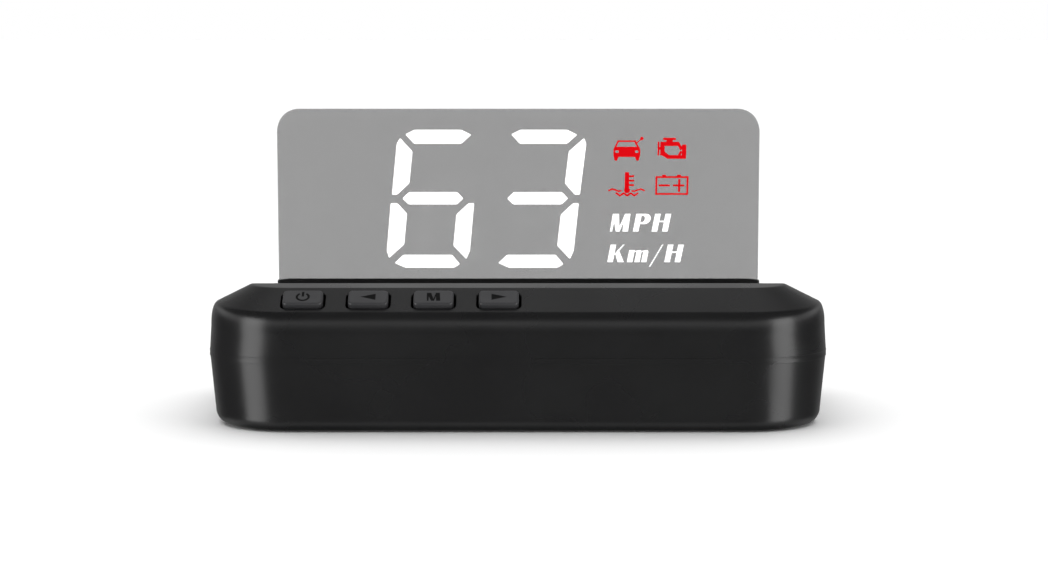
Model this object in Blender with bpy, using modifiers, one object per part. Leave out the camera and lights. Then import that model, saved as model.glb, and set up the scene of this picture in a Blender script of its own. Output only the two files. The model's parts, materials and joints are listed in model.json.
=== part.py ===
"""Car head-up display: a dashboard case with four keys and a hinged transparent reflector.

The driver looks along +Y, so the side with the keys faces -Y. The origin is the bottom centre.
The case is two lofted shells. Behind a flat ridge its top slopes down to the hinge of the
reflector, which folds forward over the sunk display window.
"""

import math

import bmesh
import bpy
from mathutils import Euler, Vector

MM = 0.001
SMALL_GAP = 0.15 * MM
GAP = 0.3 * MM

# Case shells
WIDTH = 120 * MM
DEPTH = 64 * MM
TOP_Z = 26.9 * MM
BASE_Z = 0.25 * MM
LOWER_TOP_Z = 14.45 * MM
UPPER_BOTTOM_Z = 14.75 * MM
FRONT_RADIUS = 16.5 * MM
REAR_RADIUS = 12 * MM
CORNER_STEPS = 7
WALL = 2 * MM
FLOOR_Z = 2.6 * MM
LIP_INSET = 1.3 * MM
LIP_TOP_Z = 15.3 * MM
REBATE_INSET = 1.0 * MM

# Bevel that carries the keys: a straight run between its lower and upper edges
WALL_INSET = 0.35 * MM
BEVEL_LOW_Z = 22.25 * MM
TOP_INSET = 8.2 * MM
REAR_TOP_INSET = 1.6 * MM
BEVEL_ANGLE = math.atan2(TOP_Z - BEVEL_LOW_Z, TOP_INSET - WALL_INSET)
FILLET_ON_BEVEL = 1.6 * MM
FILLET_ON_WALL = 3.6 * MM
SIDE_LIFT = 0.75 * MM

# Top slope behind the ridge
FOLD_Y = -DEPTH / 2 + FRONT_RADIUS
SLOPE = math.radians(8)

# Reflector and its hinge
HINGE_Y = 26.5 * MM
HINGE_Z = 20.1 * MM
LEAN = math.radians(18)
PLATE_THICKNESS = 2 * MM
PLATE_LOW = 1.5 * MM
PLATE_TOP = 41.3 * MM
PLATE_HALF_LOW = 50.45 * MM
PLATE_HALF_TOP = 49.5 * MM
PLATE_CORNER = 4.6 * MM
BAR_HALF = 50.9 * MM
BAR_RADIUS = 2.6 * MM
JAW_HALF = 1.9 * MM
JAW_TOP = 2.9 * MM
JAW_CHAMFER = 0.5 * MM
JAW_END_CUT = 2.4 * MM
PIN_RADIUS = 0.9 * MM
EAR_INNER = 51.5 * MM
EAR_OUTER = 54.4 * MM
EAR_RADIUS = 1.75 * MM

# Display, in the frame of the slope: Y down the slope from the fold, Z out of it
RECESS_HALF = 51.25 * MM
RECESS_DEPTH = 2.2 * MM
WINDOW_HALF = 46 * MM
WINDOW_FRONT = 3 * MM
WINDOW_REAR = 36 * MM
WINDOW_THICKNESS = 1.1 * MM
STACK_HALF = 42.4 * MM
STACK_FRONT = 6.1 * MM
STACK_REAR = 32.9 * MM
MASK_TOP = -3.65 * MM
DIFFUSER_TOP = -4.25 * MM
HOUSING_TOP = -4.8 * MM
HOUSING_BOTTOM = -9.2 * MM
DISPLAY_BOARD_TOP = -9.5 * MM
DISPLAY_BOARD_THICKNESS = 1.3 * MM

# Seven-segment digits, upright and unslanted, then scaled down to the display
DIGIT_WIDTH = 17.5 * MM
DIGIT_HEIGHT = 31.2 * MM
DIGIT_PITCH = 21.9 * MM
DIGIT_LEFT = -28.2 * MM
DIGIT_SLANT = 0.107
STROKE = 3.1 * MM
DISPLAY_SCALE = 0.82

# Keys, in the frame of the bevel: X along the row, Y up the bevel, Z out of it
KEY_FIRST_X = -40.8 * MM
KEY_PITCH = 12.4 * MM
KEY_NAMES = ("power", "left", "mode", "right")
KEY_UP_BEVEL = 0.55
KEY_SIZE = (7.6 * MM, 4.35 * MM)
KEY_HEIGHT = 1.0 * MM
KEY_WALL = 3.1 * MM
KEY_FLANGE = (8.8 * MM, 5.8 * MM, 0.8 * MM)
SWITCH_TOP = -5.1 * MM
SWITCH_SIZE = (4.5 * MM, 4.5 * MM, 2.0 * MM)
KEY_BOARD_TOP = -7.4 * MM
KEY_BOARD_SIZE = (50 * MM, 7 * MM, 1.0 * MM)
KEY_BAY = (52 * MM, 7.4 * MM, 9.4 * MM)

# Main board and what stands on it
BOARD_SIZE = (92 * MM, 52.4 * MM, 1.4 * MM)
BOARD_Y = 2.2 * MM
BOARD_Z = 5.2 * MM
CHIP_Z = BOARD_Z + BOARD_SIZE[2] + GAP
BOARD_POST_RADIUS = 2.6 * MM
BOARD_POSTS = ((-42, -20), (42, -20), (-42, 24), (42, 24))

# Case screws
CASE_POSTS = ((-51.2, -12), (51.2, -12), (-51.2, 17), (51.2, 17))
CASE_POST_RADIUS = 3.7 * MM
CASE_POST_TOP = 14.9 * MM
UPPER_POST_BOTTOM = 15.4 * MM

# Cable port in the rear wall
PORT_X = -26 * MM
PORT_Z = 8.85 * MM
PORT_SIZE = (7.7 * MM, 9.0 * MM, 3.9 * MM)
PORT_PAD_Y = 31.9 * MM

# Vents in the rear wall
VENT_COUNT = 7
VENT_FIRST_X = 12 * MM
VENT_PITCH = 3.8 * MM
VENT_WIDTH = 1.5 * MM
VENT_HEIGHT = 5.6 * MM

# Pad and label under the case
PAD_SIZE = (86 * MM, 30 * MM, 0.95 * MM)
PAD_Y = -7 * MM
LABEL_SIZE = (44 * MM, 12 * MM, 0.15 * MM)
LABEL_Y = 17 * MM


def clear_scene():
    for obj in list(bpy.data.objects):
        bpy.data.objects.remove(obj, do_unlink=True)


def new_collection(name):
    collection = bpy.data.collections.new(name)
    bpy.context.scene.collection.children.link(collection)
    return collection


clear_scene()
PARTS = new_collection("head_up_display")
CUTTERS = new_collection("cutters")
CUTTERS.hide_render = True


# ---------------------------------------------------------------- materials


def material(name, colour, roughness, metallic=0.0, transmission=0.0):
    found = bpy.data.materials.get(name)
    if found:
        return found
    made = bpy.data.materials.new(name)
    made.use_nodes = True
    shader = made.node_tree.nodes["Principled BSDF"]
    shader.inputs["Base Color"].default_value = (*colour, 1)
    shader.inputs["Roughness"].default_value = roughness
    shader.inputs["Metallic"].default_value = metallic
    shader.inputs["Transmission Weight"].default_value = transmission
    return made


def black_plastic():
    return material("black_plastic", (0.018, 0.018, 0.019), 0.42)


def key_plastic():
    return material("key_plastic", (0.03, 0.03, 0.032), 0.35)


def smoked_acrylic():
    return material("smoked_acrylic", (0.3, 0.3, 0.3), 0.04, transmission=0.9)


def window_acrylic():
    return material("window_acrylic", (0.03, 0.03, 0.035), 0.06, transmission=0.6)


def steel():
    return material("steel", (0.6, 0.6, 0.62), 0.3, metallic=1.0)


def board_laminate():
    return material("board_laminate", (0.01, 0.12, 0.05), 0.45)


def chip_epoxy():
    return material("chip_epoxy", (0.02, 0.02, 0.02), 0.55)


def white_nylon():
    return material("white_nylon", (0.8, 0.8, 0.78), 0.5)


def printed_film():
    return material("printed_film", (0.01, 0.01, 0.01), 0.6)


def ribbon_film():
    return material("ribbon_film", (0.75, 0.75, 0.72), 0.4)


def silicone_rubber():
    return material("silicone_rubber", (0.03, 0.03, 0.03), 0.8)


# ---------------------------------------------------------------- shape helpers


def add_object(name, bm, look=None, parent=None, location=(0, 0, 0), turn=(0, 0, 0)):
    """Turns a bmesh into an object: a part when it has a look, and a cutter when it has none."""
    bmesh.ops.recalc_face_normals(bm, faces=bm.faces)
    mesh = bpy.data.meshes.new(name)
    bm.to_mesh(mesh)
    bm.free()
    obj = bpy.data.objects.new(name, mesh)
    obj.location = location
    obj.rotation_euler = turn
    obj.parent = parent
    if look is None:
        CUTTERS.objects.link(obj)
        obj.hide_render = True
        obj.display_type = "WIRE"
    else:
        PARTS.objects.link(obj)
        mesh.materials.append(look)
        mesh.shade_smooth()
        mesh.set_sharp_from_angle(angle=math.radians(30))
    return obj


def boolean(obj, other, operation):
    modifier = obj.modifiers.new(f"{operation.lower()}_{other.name}", "BOOLEAN")
    modifier.operation = operation
    modifier.solver = "EXACT"
    modifier.object = other


def cut(obj, name, bm, parent=None, location=(0, 0, 0), turn=(0, 0, 0)):
    boolean(obj, add_object(name, bm, None, parent, location, turn), "DIFFERENCE")


def join(obj, name, bm, parent=None, location=(0, 0, 0), turn=(0, 0, 0)):
    boolean(obj, add_object(name, bm, None, parent, location, turn), "UNION")


def box(size, centre=(0, 0, 0), corner=0.0, edge=0.0):
    """Block with its upright edges rounded to corner and the edges of its upper face to edge."""
    bm = bmesh.new()
    bmesh.ops.create_cube(bm, size=1)
    bmesh.ops.scale(bm, vec=size, verts=bm.verts)
    if corner:
        upright = [e for e in bm.edges if abs((e.verts[0].co - e.verts[1].co).z) > size[2] / 2]
        bmesh.ops.bevel(bm, geom=upright, offset=corner, segments=3, profile=0.5, affect="EDGES")
    if edge:
        upper = [e for e in bm.edges if min(v.co.z for v in e.verts) > size[2] * 0.49]
        bmesh.ops.bevel(bm, geom=upper, offset=edge, segments=2, profile=0.5, affect="EDGES")
    bmesh.ops.translate(bm, vec=centre, verts=bm.verts)
    return bm


def slab(half_x, front, rear, bottom, top, corner=0.0):
    """Block given by its sides: symmetric in X, and from front to rear in Y."""
    size = (2 * half_x, rear - front, top - bottom)
    return box(size, (0, (front + rear) / 2, (bottom + top) / 2), corner)


def cylinder(radius, length, centre=(0, 0, 0), axis="Z", segments=24):
    bm = bmesh.new()
    bmesh.ops.create_cone(
        bm, cap_ends=True, segments=segments, radius1=radius, radius2=radius, depth=length
    )
    if axis == "X":
        bmesh.ops.rotate(bm, cent=(0, 0, 0), matrix=turn_z_to_x(), verts=bm.verts)
    bmesh.ops.translate(bm, vec=centre, verts=bm.verts)
    return bm


def turn_z_to_x():
    return Vector((0, 0, 1)).rotation_difference(Vector((1, 0, 0))).to_matrix()


def prism(outlines, low, high):
    """Closed solids between two heights, one over each outline of (x, y) points."""
    bm = bmesh.new()
    for points in outlines:
        lower = [bm.verts.new((x, y, low)) for x, y in points]
        upper = [bm.verts.new((x, y, high)) for x, y in points]
        bm.faces.new(lower)
        bm.faces.new(upper)
        for i, corner in enumerate(lower):
            j = (i + 1) % len(lower)
            bm.faces.new((corner, lower[j], upper[j], upper[i]))
    return bm


def arc(centre, radius, start, end, steps):
    """Points on a circle from one angle to another, in degrees."""
    points = []
    for step in range(steps + 1):
        angle = math.radians(start + (end - start) * step / steps)
        points.append((centre[0] + radius * math.cos(angle), centre[1] + radius * math.sin(angle)))
    return points


def rail(outline, low, high):
    """Closed solid along X between two places, with its outline given in (y, z) points."""
    bm = prism([outline], low, high)
    for vert in bm.verts:
        vert.co = Vector((vert.co.z, vert.co.x, vert.co.y))
    return bm


def empty(name, location, turn_x):
    frame = bpy.data.objects.new(name, None)
    frame.location = location
    frame.rotation_euler = (turn_x, 0, 0)
    PARTS.objects.link(frame)
    return frame


# ---------------------------------------------------------------- case loft


def drop(y):
    """How far the top has fallen below the ridge at this depth."""
    return max(0.0, y - FOLD_Y) * math.tan(SLOPE)


def side_lift(z, y):
    """How much higher the bevel's lower edge lies along the sides than across the front."""
    below = (z - UPPER_BOTTOM_Z) / (BEVEL_LOW_Z - UPPER_BOTTOM_Z)
    above = (TOP_Z - z) / (TOP_Z - BEVEL_LOW_Z)
    away = min(max((y + DEPTH / 2) / FRONT_RADIUS, 0.0), 1.0)
    return SIDE_LIFT * max(min(below, above), 0.0) * away


def plan_outline(front, side, rear):
    """The case's widest outline moved in by these insets, with elliptical corners."""
    x_front = WIDTH / 2 - FRONT_RADIUS
    y_front = -DEPTH / 2 + FRONT_RADIUS
    x_rear = WIDTH / 2 - REAR_RADIUS
    y_rear = DEPTH / 2 - REAR_RADIUS
    front_radii = (FRONT_RADIUS - side, FRONT_RADIUS - front)
    rear_radii = (REAR_RADIUS - side, REAR_RADIUS - rear)
    corners = (
        (x_front, y_front, front_radii, -90),
        (x_rear, y_rear, rear_radii, 0),
        (-x_rear, y_rear, rear_radii, 90),
        (-x_front, y_front, front_radii, 180),
    )
    points = []
    for x, y, radii, start in corners:
        for step in range(CORNER_STEPS + 1):
            angle = math.radians(start + 90 * step / CORNER_STEPS)
            points.append((x + radii[0] * math.cos(angle), y + radii[1] * math.sin(angle)))
    return points


def loft(rings, lifted=False):
    """Closed solid through rings of (z, front, side, rear inset, share of the slope's drop)."""
    bm = bmesh.new()
    loops = []
    for z, front, side, rear, share in rings:
        outline = plan_outline(front, side, rear)
        loop = []
        for x, y in outline:
            lift = side_lift(z, y) if lifted else 0.0
            loop.append(bm.verts.new((x, y, z - share * drop(y) + lift)))
        loops.append(loop)
    for low, high in zip(loops, loops[1:]):
        for i, corner in enumerate(low):
            j = (i + 1) % len(low)
            bm.faces.new((corner, low[j], high[j], high[i]))
    bm.faces.new(reversed(loops[0]))
    cap = bm.faces.new(loops[-1])
    right_fold = loops[-1][CORNER_STEPS]
    left_fold = loops[-1][3 * (CORNER_STEPS + 1)]
    bmesh.utils.face_split(cap, right_fold, left_fold)
    bmesh.ops.triangulate(bm, faces=bm.faces)
    return bm


def even(z, inset, share=0.0):
    return (z, inset, inset, inset, share)


def outer_share(z):
    """Above the seam the case's height shrinks evenly towards the rear."""
    return (z - UPPER_BOTTOM_Z) / (TOP_Z - UPPER_BOTTOM_Z)


def outer_ring(inset, z):
    """Ring of the upper shell's outside: at the rear its inset grows to the rear edge's only."""
    progress = (inset - WALL_INSET) / (TOP_INSET - WALL_INSET)
    rear = WALL_INSET + progress * (REAR_TOP_INSET - WALL_INSET)
    return (z, inset, inset, rear, outer_share(z))


def bevel_fillet_rings(steps=4):
    """Quadratic curve from the upright wall into the bevel."""
    start = Vector((WALL_INSET, BEVEL_LOW_Z - FILLET_ON_WALL))
    bend = Vector((WALL_INSET, BEVEL_LOW_Z))
    along = Vector((math.cos(BEVEL_ANGLE), math.sin(BEVEL_ANGLE)))
    end = bend + along * FILLET_ON_BEVEL
    rings = []
    for step in range(steps + 1):
        t = step / steps
        point = start * (1 - t) ** 2 + bend * 2 * t * (1 - t) + end * t**2
        rings.append(outer_ring(point.x, point.y))
    return rings


def upper_case_loft():
    rings = [even(UPPER_BOTTOM_Z, 0), *bevel_fillet_rings(), outer_ring(TOP_INSET, TOP_Z)]
    return loft(rings, lifted=True)


def upper_cavity_loft():
    step_z = LIP_TOP_Z + GAP
    rings = [
        even(UPPER_BOTTOM_Z - WALL, REBATE_INSET),
        even(step_z, REBATE_INSET),
        even(step_z, WALL),
        even(19.5 * MM, WALL + WALL_INSET, 0.6),
        even(22.5 * MM, 6 * MM, 1.0),
    ]
    return loft(rings)


def lower_case_loft(steps=3):
    """Rounded lower edge, wall that widens to the seam, and the lip inside the upper shell."""
    front_low, side_low, edge_inset, edge_z = 2.2 * MM, 3.2 * MM, 1.1 * MM, 2.75 * MM
    rings = []
    for step in range(steps + 1):
        turn = math.radians(90 * step / steps)
        z = edge_z - (edge_z - BASE_Z) * math.cos(turn)
        front = front_low - (front_low - edge_inset) * math.sin(turn)
        side = side_low - (side_low - edge_inset) * math.sin(turn)
        rings.append((z, front, side, front, 0.0))
    rings += [even(LOWER_TOP_Z, 0), even(LOWER_TOP_Z, LIP_INSET), even(LIP_TOP_Z, LIP_INSET)]
    return loft(rings)


def lower_cavity_loft():
    inset = LIP_INSET + 0.8 * MM
    return loft([even(FLOOR_Z, 3.3 * MM), even(LOWER_TOP_Z, inset), even(LIP_TOP_Z + WALL, inset)])


# ---------------------------------------------------------------- frames

SLOPE_FRAME = empty("slope_frame", (0, FOLD_Y, TOP_Z), -SLOPE)
KEY_FRAME = empty(
    "key_frame",
    (
        0,
        -DEPTH / 2 + WALL_INSET + KEY_UP_BEVEL * (TOP_INSET - WALL_INSET),
        BEVEL_LOW_Z + KEY_UP_BEVEL * (TOP_Z - BEVEL_LOW_Z),
    ),
    BEVEL_ANGLE,
)
REFLECTOR_FRAME = empty("reflector_frame", (0, HINGE_Y, HINGE_Z), LEAN)
KEY_XS = [KEY_FIRST_X + KEY_PITCH * i for i in range(len(KEY_NAMES))]
KEY_ROW_X = sum(KEY_XS) / len(KEY_XS)
KEY_SCREW_XS = [(KEY_XS[0] + KEY_XS[1]) / 2, (KEY_XS[2] + KEY_XS[3]) / 2]
DISPLAY_SCREWS = ((-44.8, 8), (44.8, 31))


# ---------------------------------------------------------------- shells


def cut_display_recess(case):
    recess = slab(RECESS_HALF, 0.2 * MM, 60 * MM, -RECESS_DEPTH, 9 * MM)
    cut(case, "recess_cutter", recess, SLOPE_FRAME)
    seat_z = -RECESS_DEPTH - WINDOW_THICKNESS - 0.2 * MM
    seat = slab(
        WINDOW_HALF + GAP, WINDOW_FRONT - GAP, WINDOW_REAR + GAP, seat_z, 0, corner=1.3 * MM
    )
    cut(case, "window_seat_cutter", seat, SLOPE_FRAME)
    side = 0.6 * MM
    hole = slab(STACK_HALF + side, STACK_FRONT - side, STACK_REAR + side, -12 * MM, 0)
    cut(case, "stack_cutter", hole, SLOPE_FRAME)


def add_hinge_ears(case):
    """Lugs that hold the pins. They start inside the trough, which then trims them flush."""
    foot = 3.2 * MM
    outline = arc((HINGE_Y, HINGE_Z), EAR_RADIUS, 0, 180, 12)
    outline += [(HINGE_Y - EAR_RADIUS, HINGE_Z - foot), (HINGE_Y + EAR_RADIUS, HINGE_Z - foot)]
    for side in (-1, 1):
        ends = sorted((side * (EAR_INNER - GAP), side * EAR_OUTER))
        join(case, "ear", rail(outline, *ends))


def cut_hinge_trough(case):
    """Round trough under the barrel, with a step in front where the jaws come down."""
    relative = Vector((0, HINGE_Y - FOLD_Y, HINGE_Z - TOP_Z))
    relative.rotate(Euler((SLOPE, 0, 0)))
    y, z = relative.y, relative.z
    room = BAR_RADIUS + 0.35 * MM
    jaw_reach, jaw_floor, above = 4.4 * MM, -3.0 * MM, 9 * MM
    meet = math.degrees(math.asin((z - jaw_floor) / room))
    outline = [(y + room, above), *arc((y, z), room, 0, meet - 180, 16)]
    outline += [(y - jaw_reach, jaw_floor), (y - jaw_reach, above)]
    cut(case, "trough_cutter", rail(outline, -EAR_INNER, EAR_INNER), SLOPE_FRAME)
    centre = (0, HINGE_Y, HINGE_Z)
    hole = cylinder(PIN_RADIUS + 0.2 * MM, 2 * EAR_OUTER + 2 * MM, centre, "X")
    cut(case, "pin_hole_cutter", hole)


def cut_key_openings(case):
    bay_centre = (KEY_ROW_X, 0, -KEY_WALL - KEY_BAY[2] / 2)
    cut(case, "key_bay_cutter", box(KEY_BAY, bay_centre), KEY_FRAME)
    opening = (KEY_SIZE[0] + 0.7 * MM, KEY_SIZE[1] + 0.7 * MM, 8 * MM)
    for name, x in zip(KEY_NAMES, KEY_XS):
        cut(case, f"{name}_opening_cutter", box(opening, (x, 0, 0), 1.2 * MM), KEY_FRAME)


def add_key_board_posts(case):
    top, bottom = -KEY_WALL + 1 * MM, KEY_BOARD_TOP + GAP
    for x in KEY_SCREW_XS:
        post = cylinder(1.5 * MM, top - bottom, (x, 0, (top + bottom) / 2), segments=16)
        join(case, "key_board_post", post, KEY_FRAME)
        hole = cylinder(0.8 * MM, 3.4 * MM, (x, 0, bottom + 1.2 * MM), segments=16)
        cut(case, "key_board_hole", hole, KEY_FRAME)


def add_display_posts(case):
    top, bottom = -4.0 * MM, HOUSING_BOTTOM
    for x, y in DISPLAY_SCREWS:
        centre = (x * MM, y * MM, (top + bottom) / 2)
        post = cylinder(1.7 * MM, top - bottom, centre, segments=16)
        join(case, "display_post", post, SLOPE_FRAME)
        hole = cylinder(0.9 * MM, 4.4 * MM, (x * MM, y * MM, bottom + 1.6 * MM), segments=16)
        cut(case, "display_post_hole", hole, SLOPE_FRAME)


def add_upper_screw_posts(case):
    for x, y in CASE_POSTS:
        top = 23.5 * MM - drop(y * MM)
        centre = (x * MM, y * MM, (top + UPPER_POST_BOTTOM) / 2)
        join(case, "upper_post", cylinder(3 * MM, top - UPPER_POST_BOTTOM, centre))
        hole_centre = (x * MM, y * MM, UPPER_POST_BOTTOM + 1 * MM)
        cut(case, "upper_post_hole", cylinder(1.3 * MM, 4.4 * MM, hole_centre, segments=16))


def make_upper_case():
    case = add_object("upper_case", upper_case_loft(), black_plastic())
    cut(case, "upper_cavity", upper_cavity_loft())
    add_upper_screw_posts(case)
    cut_display_recess(case)
    add_display_posts(case)
    cut_key_openings(case)
    add_key_board_posts(case)
    add_hinge_ears(case)
    cut_hinge_trough(case)


def add_lower_posts(case):
    for x, y in CASE_POSTS:
        bottom = 1.2 * MM
        centre = (x * MM, y * MM, (CASE_POST_TOP + bottom) / 2)
        join(case, "lower_post", cylinder(CASE_POST_RADIUS, CASE_POST_TOP - bottom, centre))
        cut(case, "shank_hole", cylinder(1.45 * MM, 40 * MM, (x * MM, y * MM, 0), segments=16))
        cut(case, "head_hole", cylinder(2.8 * MM, 6.8 * MM, (x * MM, y * MM, 0)))
    for x, y in BOARD_POSTS:
        top, bottom = BOARD_Z - GAP, 1.8 * MM
        post = cylinder(BOARD_POST_RADIUS, top - bottom, (x * MM, y * MM, (top + bottom) / 2))
        join(case, "board_post", post)
        hole = cylinder(1.1 * MM, 2.4 * MM, (x * MM, y * MM, top - 0.9 * MM), segments=16)
        cut(case, "board_post_hole", hole)


def cut_rear_vents(case):
    for i in range(VENT_COUNT):
        centre = (VENT_FIRST_X + i * VENT_PITCH, DEPTH / 2, PORT_Z)
        cut(case, "vent_cutter", box((VENT_WIDTH, 10 * MM, VENT_HEIGHT), centre))


def add_port_pad(case):
    pad = box((17 * MM, 3 * MM, 8.8 * MM), (PORT_X, PORT_PAD_Y - 1.5 * MM, PORT_Z))
    join(case, "port_pad", pad)
    mouth = (PORT_SIZE[0] + 0.9 * MM, 8 * MM, PORT_SIZE[2] + 0.9 * MM)
    cut(case, "port_cutter", box(mouth, (PORT_X, DEPTH / 2, PORT_Z)))


def make_lower_case():
    case = add_object("lower_case", lower_case_loft(), black_plastic())
    cut(case, "lower_cavity", lower_cavity_loft())
    add_lower_posts(case)
    add_port_pad(case)
    cut_rear_vents(case)
    pad_room = (PAD_SIZE[0] + 2 * GAP, PAD_SIZE[1] + 2 * GAP, 2.5 * MM)
    cut(case, "pad_recess_cutter", box(pad_room, (0, PAD_Y, 0), 4.3 * MM))
    label_room = (LABEL_SIZE[0] + 2 * GAP, LABEL_SIZE[1] + 2 * GAP, 2.1 * MM)
    cut(case, "label_recess_cutter", box(label_room, (0, LABEL_Y, 0), 1.3 * MM))


def make_underside():
    pad = box(PAD_SIZE, (0, PAD_Y, PAD_SIZE[2] / 2), 4 * MM)
    add_object("grip_pad", pad, silicone_rubber())
    label = box(LABEL_SIZE, (0, LABEL_Y, 0.68 * MM), 1 * MM)
    add_object("rating_label", label, printed_film())


# ---------------------------------------------------------------- reflector


def plate_outline(steps=5):
    """Outline in (x, height up the plate), narrowing upwards, with two rounded top corners."""
    points = [(-PLATE_HALF_LOW, PLATE_LOW), (PLATE_HALF_LOW, PLATE_LOW)]
    x, y = PLATE_HALF_TOP - PLATE_CORNER, PLATE_TOP - PLATE_CORNER
    right = []
    for step in range(steps + 1):
        turn = math.radians(90 * step / steps)
        right.append((x + PLATE_CORNER * math.cos(turn), y + PLATE_CORNER * math.sin(turn)))
    left = [(-px, py) for px, py in reversed(right)]
    return points + right + left


def make_reflector_plate():
    """The outline lies in XY, so the object is turned up to stand along the frame's Z."""
    bm = prism([plate_outline()], -PLATE_THICKNESS / 2, PLATE_THICKNESS / 2)
    upright = (math.radians(90), 0, 0)
    add_object("reflector_plate", bm, smoked_acrylic(), REFLECTOR_FRAME, turn=upright)


def bar_outline():
    """Round barrel on the hinge axis with two jaws above it, in (thickness, height)."""
    shoulder = math.degrees(math.acos(JAW_HALF / BAR_RADIUS))
    jaws = [
        (JAW_HALF, JAW_TOP - JAW_CHAMFER),
        (JAW_HALF - JAW_CHAMFER, JAW_TOP),
        (-JAW_HALF + JAW_CHAMFER, JAW_TOP),
        (-JAW_HALF, JAW_TOP - JAW_CHAMFER),
    ]
    return jaws + arc((0, 0), BAR_RADIUS, 180 - shoulder, 360 + shoulder, 14)


def make_hinge_bar():
    """The ends of the jaws slant inwards above the chamfer."""
    bm = rail(bar_outline(), -BAR_HALF, BAR_HALF)
    for cap in [face for face in bm.faces if len(face.verts) > 4]:
        shoulders = [v for v in cap.verts if abs(v.co.z - JAW_TOP + JAW_CHAMFER) < SMALL_GAP / 10]
        bmesh.utils.face_split(cap, *shoulders)
    for vert in bm.verts:
        if vert.co.z > JAW_TOP - JAW_CHAMFER / 2:
            vert.co.x -= math.copysign(JAW_END_CUT, vert.co.x)
    bar = add_object("hinge_bar", bm, black_plastic(), REFLECTOR_FRAME)
    slot_bottom = PLATE_LOW - 0.2 * MM
    slot_half = PLATE_THICKNESS / 2 + SMALL_GAP
    slot = slab(BAR_HALF + 2 * MM, -slot_half, slot_half, slot_bottom, 8 * MM)
    cut(bar, "plate_slot_cutter", slot, REFLECTOR_FRAME)
    for side in (-1, 1):
        hole = cylinder(PIN_RADIUS + 0.1 * MM, 4.6 * MM, (side * BAR_HALF, 0, 0), "X")
        cut(bar, "bar_hole_cutter", hole, REFLECTOR_FRAME)


def make_hinge_pins():
    length = 5.4 * MM
    for name, side in (("left", -1), ("right", 1)):
        centre = (side * (EAR_OUTER - 0.1 * MM - length / 2), 0, 0)
        pin = cylinder(PIN_RADIUS, length, centre, "X")
        add_object(f"hinge_pin_{name}", pin, steel(), REFLECTOR_FRAME)


def make_friction_washers():
    thickness = 0.35 * MM
    for name, side in (("left", -1), ("right", 1)):
        centre = (side * (BAR_HALF + EAR_INNER) / 2, HINGE_Y, HINGE_Z)
        washer = add_object(
            f"friction_washer_{name}", cylinder(2.3 * MM, thickness, centre, "X"), white_nylon()
        )
        cut(washer, f"washer_{name}_bore", cylinder(1.15 * MM, 4 * MM, centre, "X"))


# ---------------------------------------------------------------- keys


def make_key(name, x):
    frame = empty(f"{name}_key_axis", (x, 0, 0), 0)
    frame.parent = KEY_FRAME
    flange_top = -KEY_WALL - 0.2 * MM
    height = KEY_HEIGHT - flange_top + 0.2 * MM
    centre = (0, 0, KEY_HEIGHT - height / 2)
    cap = box((*KEY_SIZE, height), centre, 0.9 * MM, 0.4 * MM)
    key = add_object(f"{name}_button", cap, key_plastic(), frame)
    flange_centre = (0, 0, flange_top - KEY_FLANGE[2] / 2)
    join(key, f"{name}_flange", box(KEY_FLANGE, flange_centre), frame)

    plunger_top = flange_top - KEY_FLANGE[2] - 0.2 * MM
    plunger_length = 1.35 * MM
    plunger_centre = (0, 0, plunger_top - plunger_length / 2)
    plunger = cylinder(0.9 * MM, plunger_length, plunger_centre, segments=16)
    add_object(f"{name}_switch_plunger", plunger, chip_epoxy(), frame)


def make_switch(name, x):
    centre = (x, 0, SWITCH_TOP - SWITCH_SIZE[2] / 2)
    body = box(SWITCH_SIZE, centre, 0.4 * MM)
    switch = add_object(f"{name}_tact_switch", body, steel(), KEY_FRAME)
    bore = cylinder(1.15 * MM, 3.0 * MM, (x, 0, SWITCH_TOP), segments=16)
    cut(switch, f"{name}_plunger_bore", bore, KEY_FRAME)


def make_screw(name, parent, place, head_radius, head_height, shank_radius, shank_length, down=1):
    """Pan-head screw at place, its head's seat. Its shank runs against Z if down is 1."""
    x, y, z = place
    head_centre = (x, y, z + down * head_height / 2)
    head = cylinder(head_radius, head_height, head_centre, segments=20)
    screw = add_object(name, head, steel(), parent)
    overlap = 0.2 * MM
    shank_centre = (x, y, z - down * (shank_length - overlap) / 2)
    shank = cylinder(shank_radius, shank_length + overlap, shank_centre, segments=16)
    join(screw, f"{name}_shank", shank, parent)


def make_key_board():
    centre = (KEY_ROW_X, 0, KEY_BOARD_TOP - KEY_BOARD_SIZE[2] / 2)
    board = add_object("button_board", box(KEY_BOARD_SIZE, centre), board_laminate(), KEY_FRAME)
    under = KEY_BOARD_TOP - KEY_BOARD_SIZE[2] - GAP
    for side, x in zip(("left", "right"), KEY_SCREW_XS):
        hole = cylinder(1.1 * MM, 4 * MM, (x, 0, KEY_BOARD_TOP), segments=16)
        cut(board, f"button_board_{side}_hole", hole, KEY_FRAME)
        place = (x, 0, under)
        name = f"button_board_screw_{side}"
        make_screw(name, KEY_FRAME, place, 1.5 * MM, 1.0 * MM, 0.6 * MM, 3.4 * MM, -1)


# ---------------------------------------------------------------- display


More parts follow.
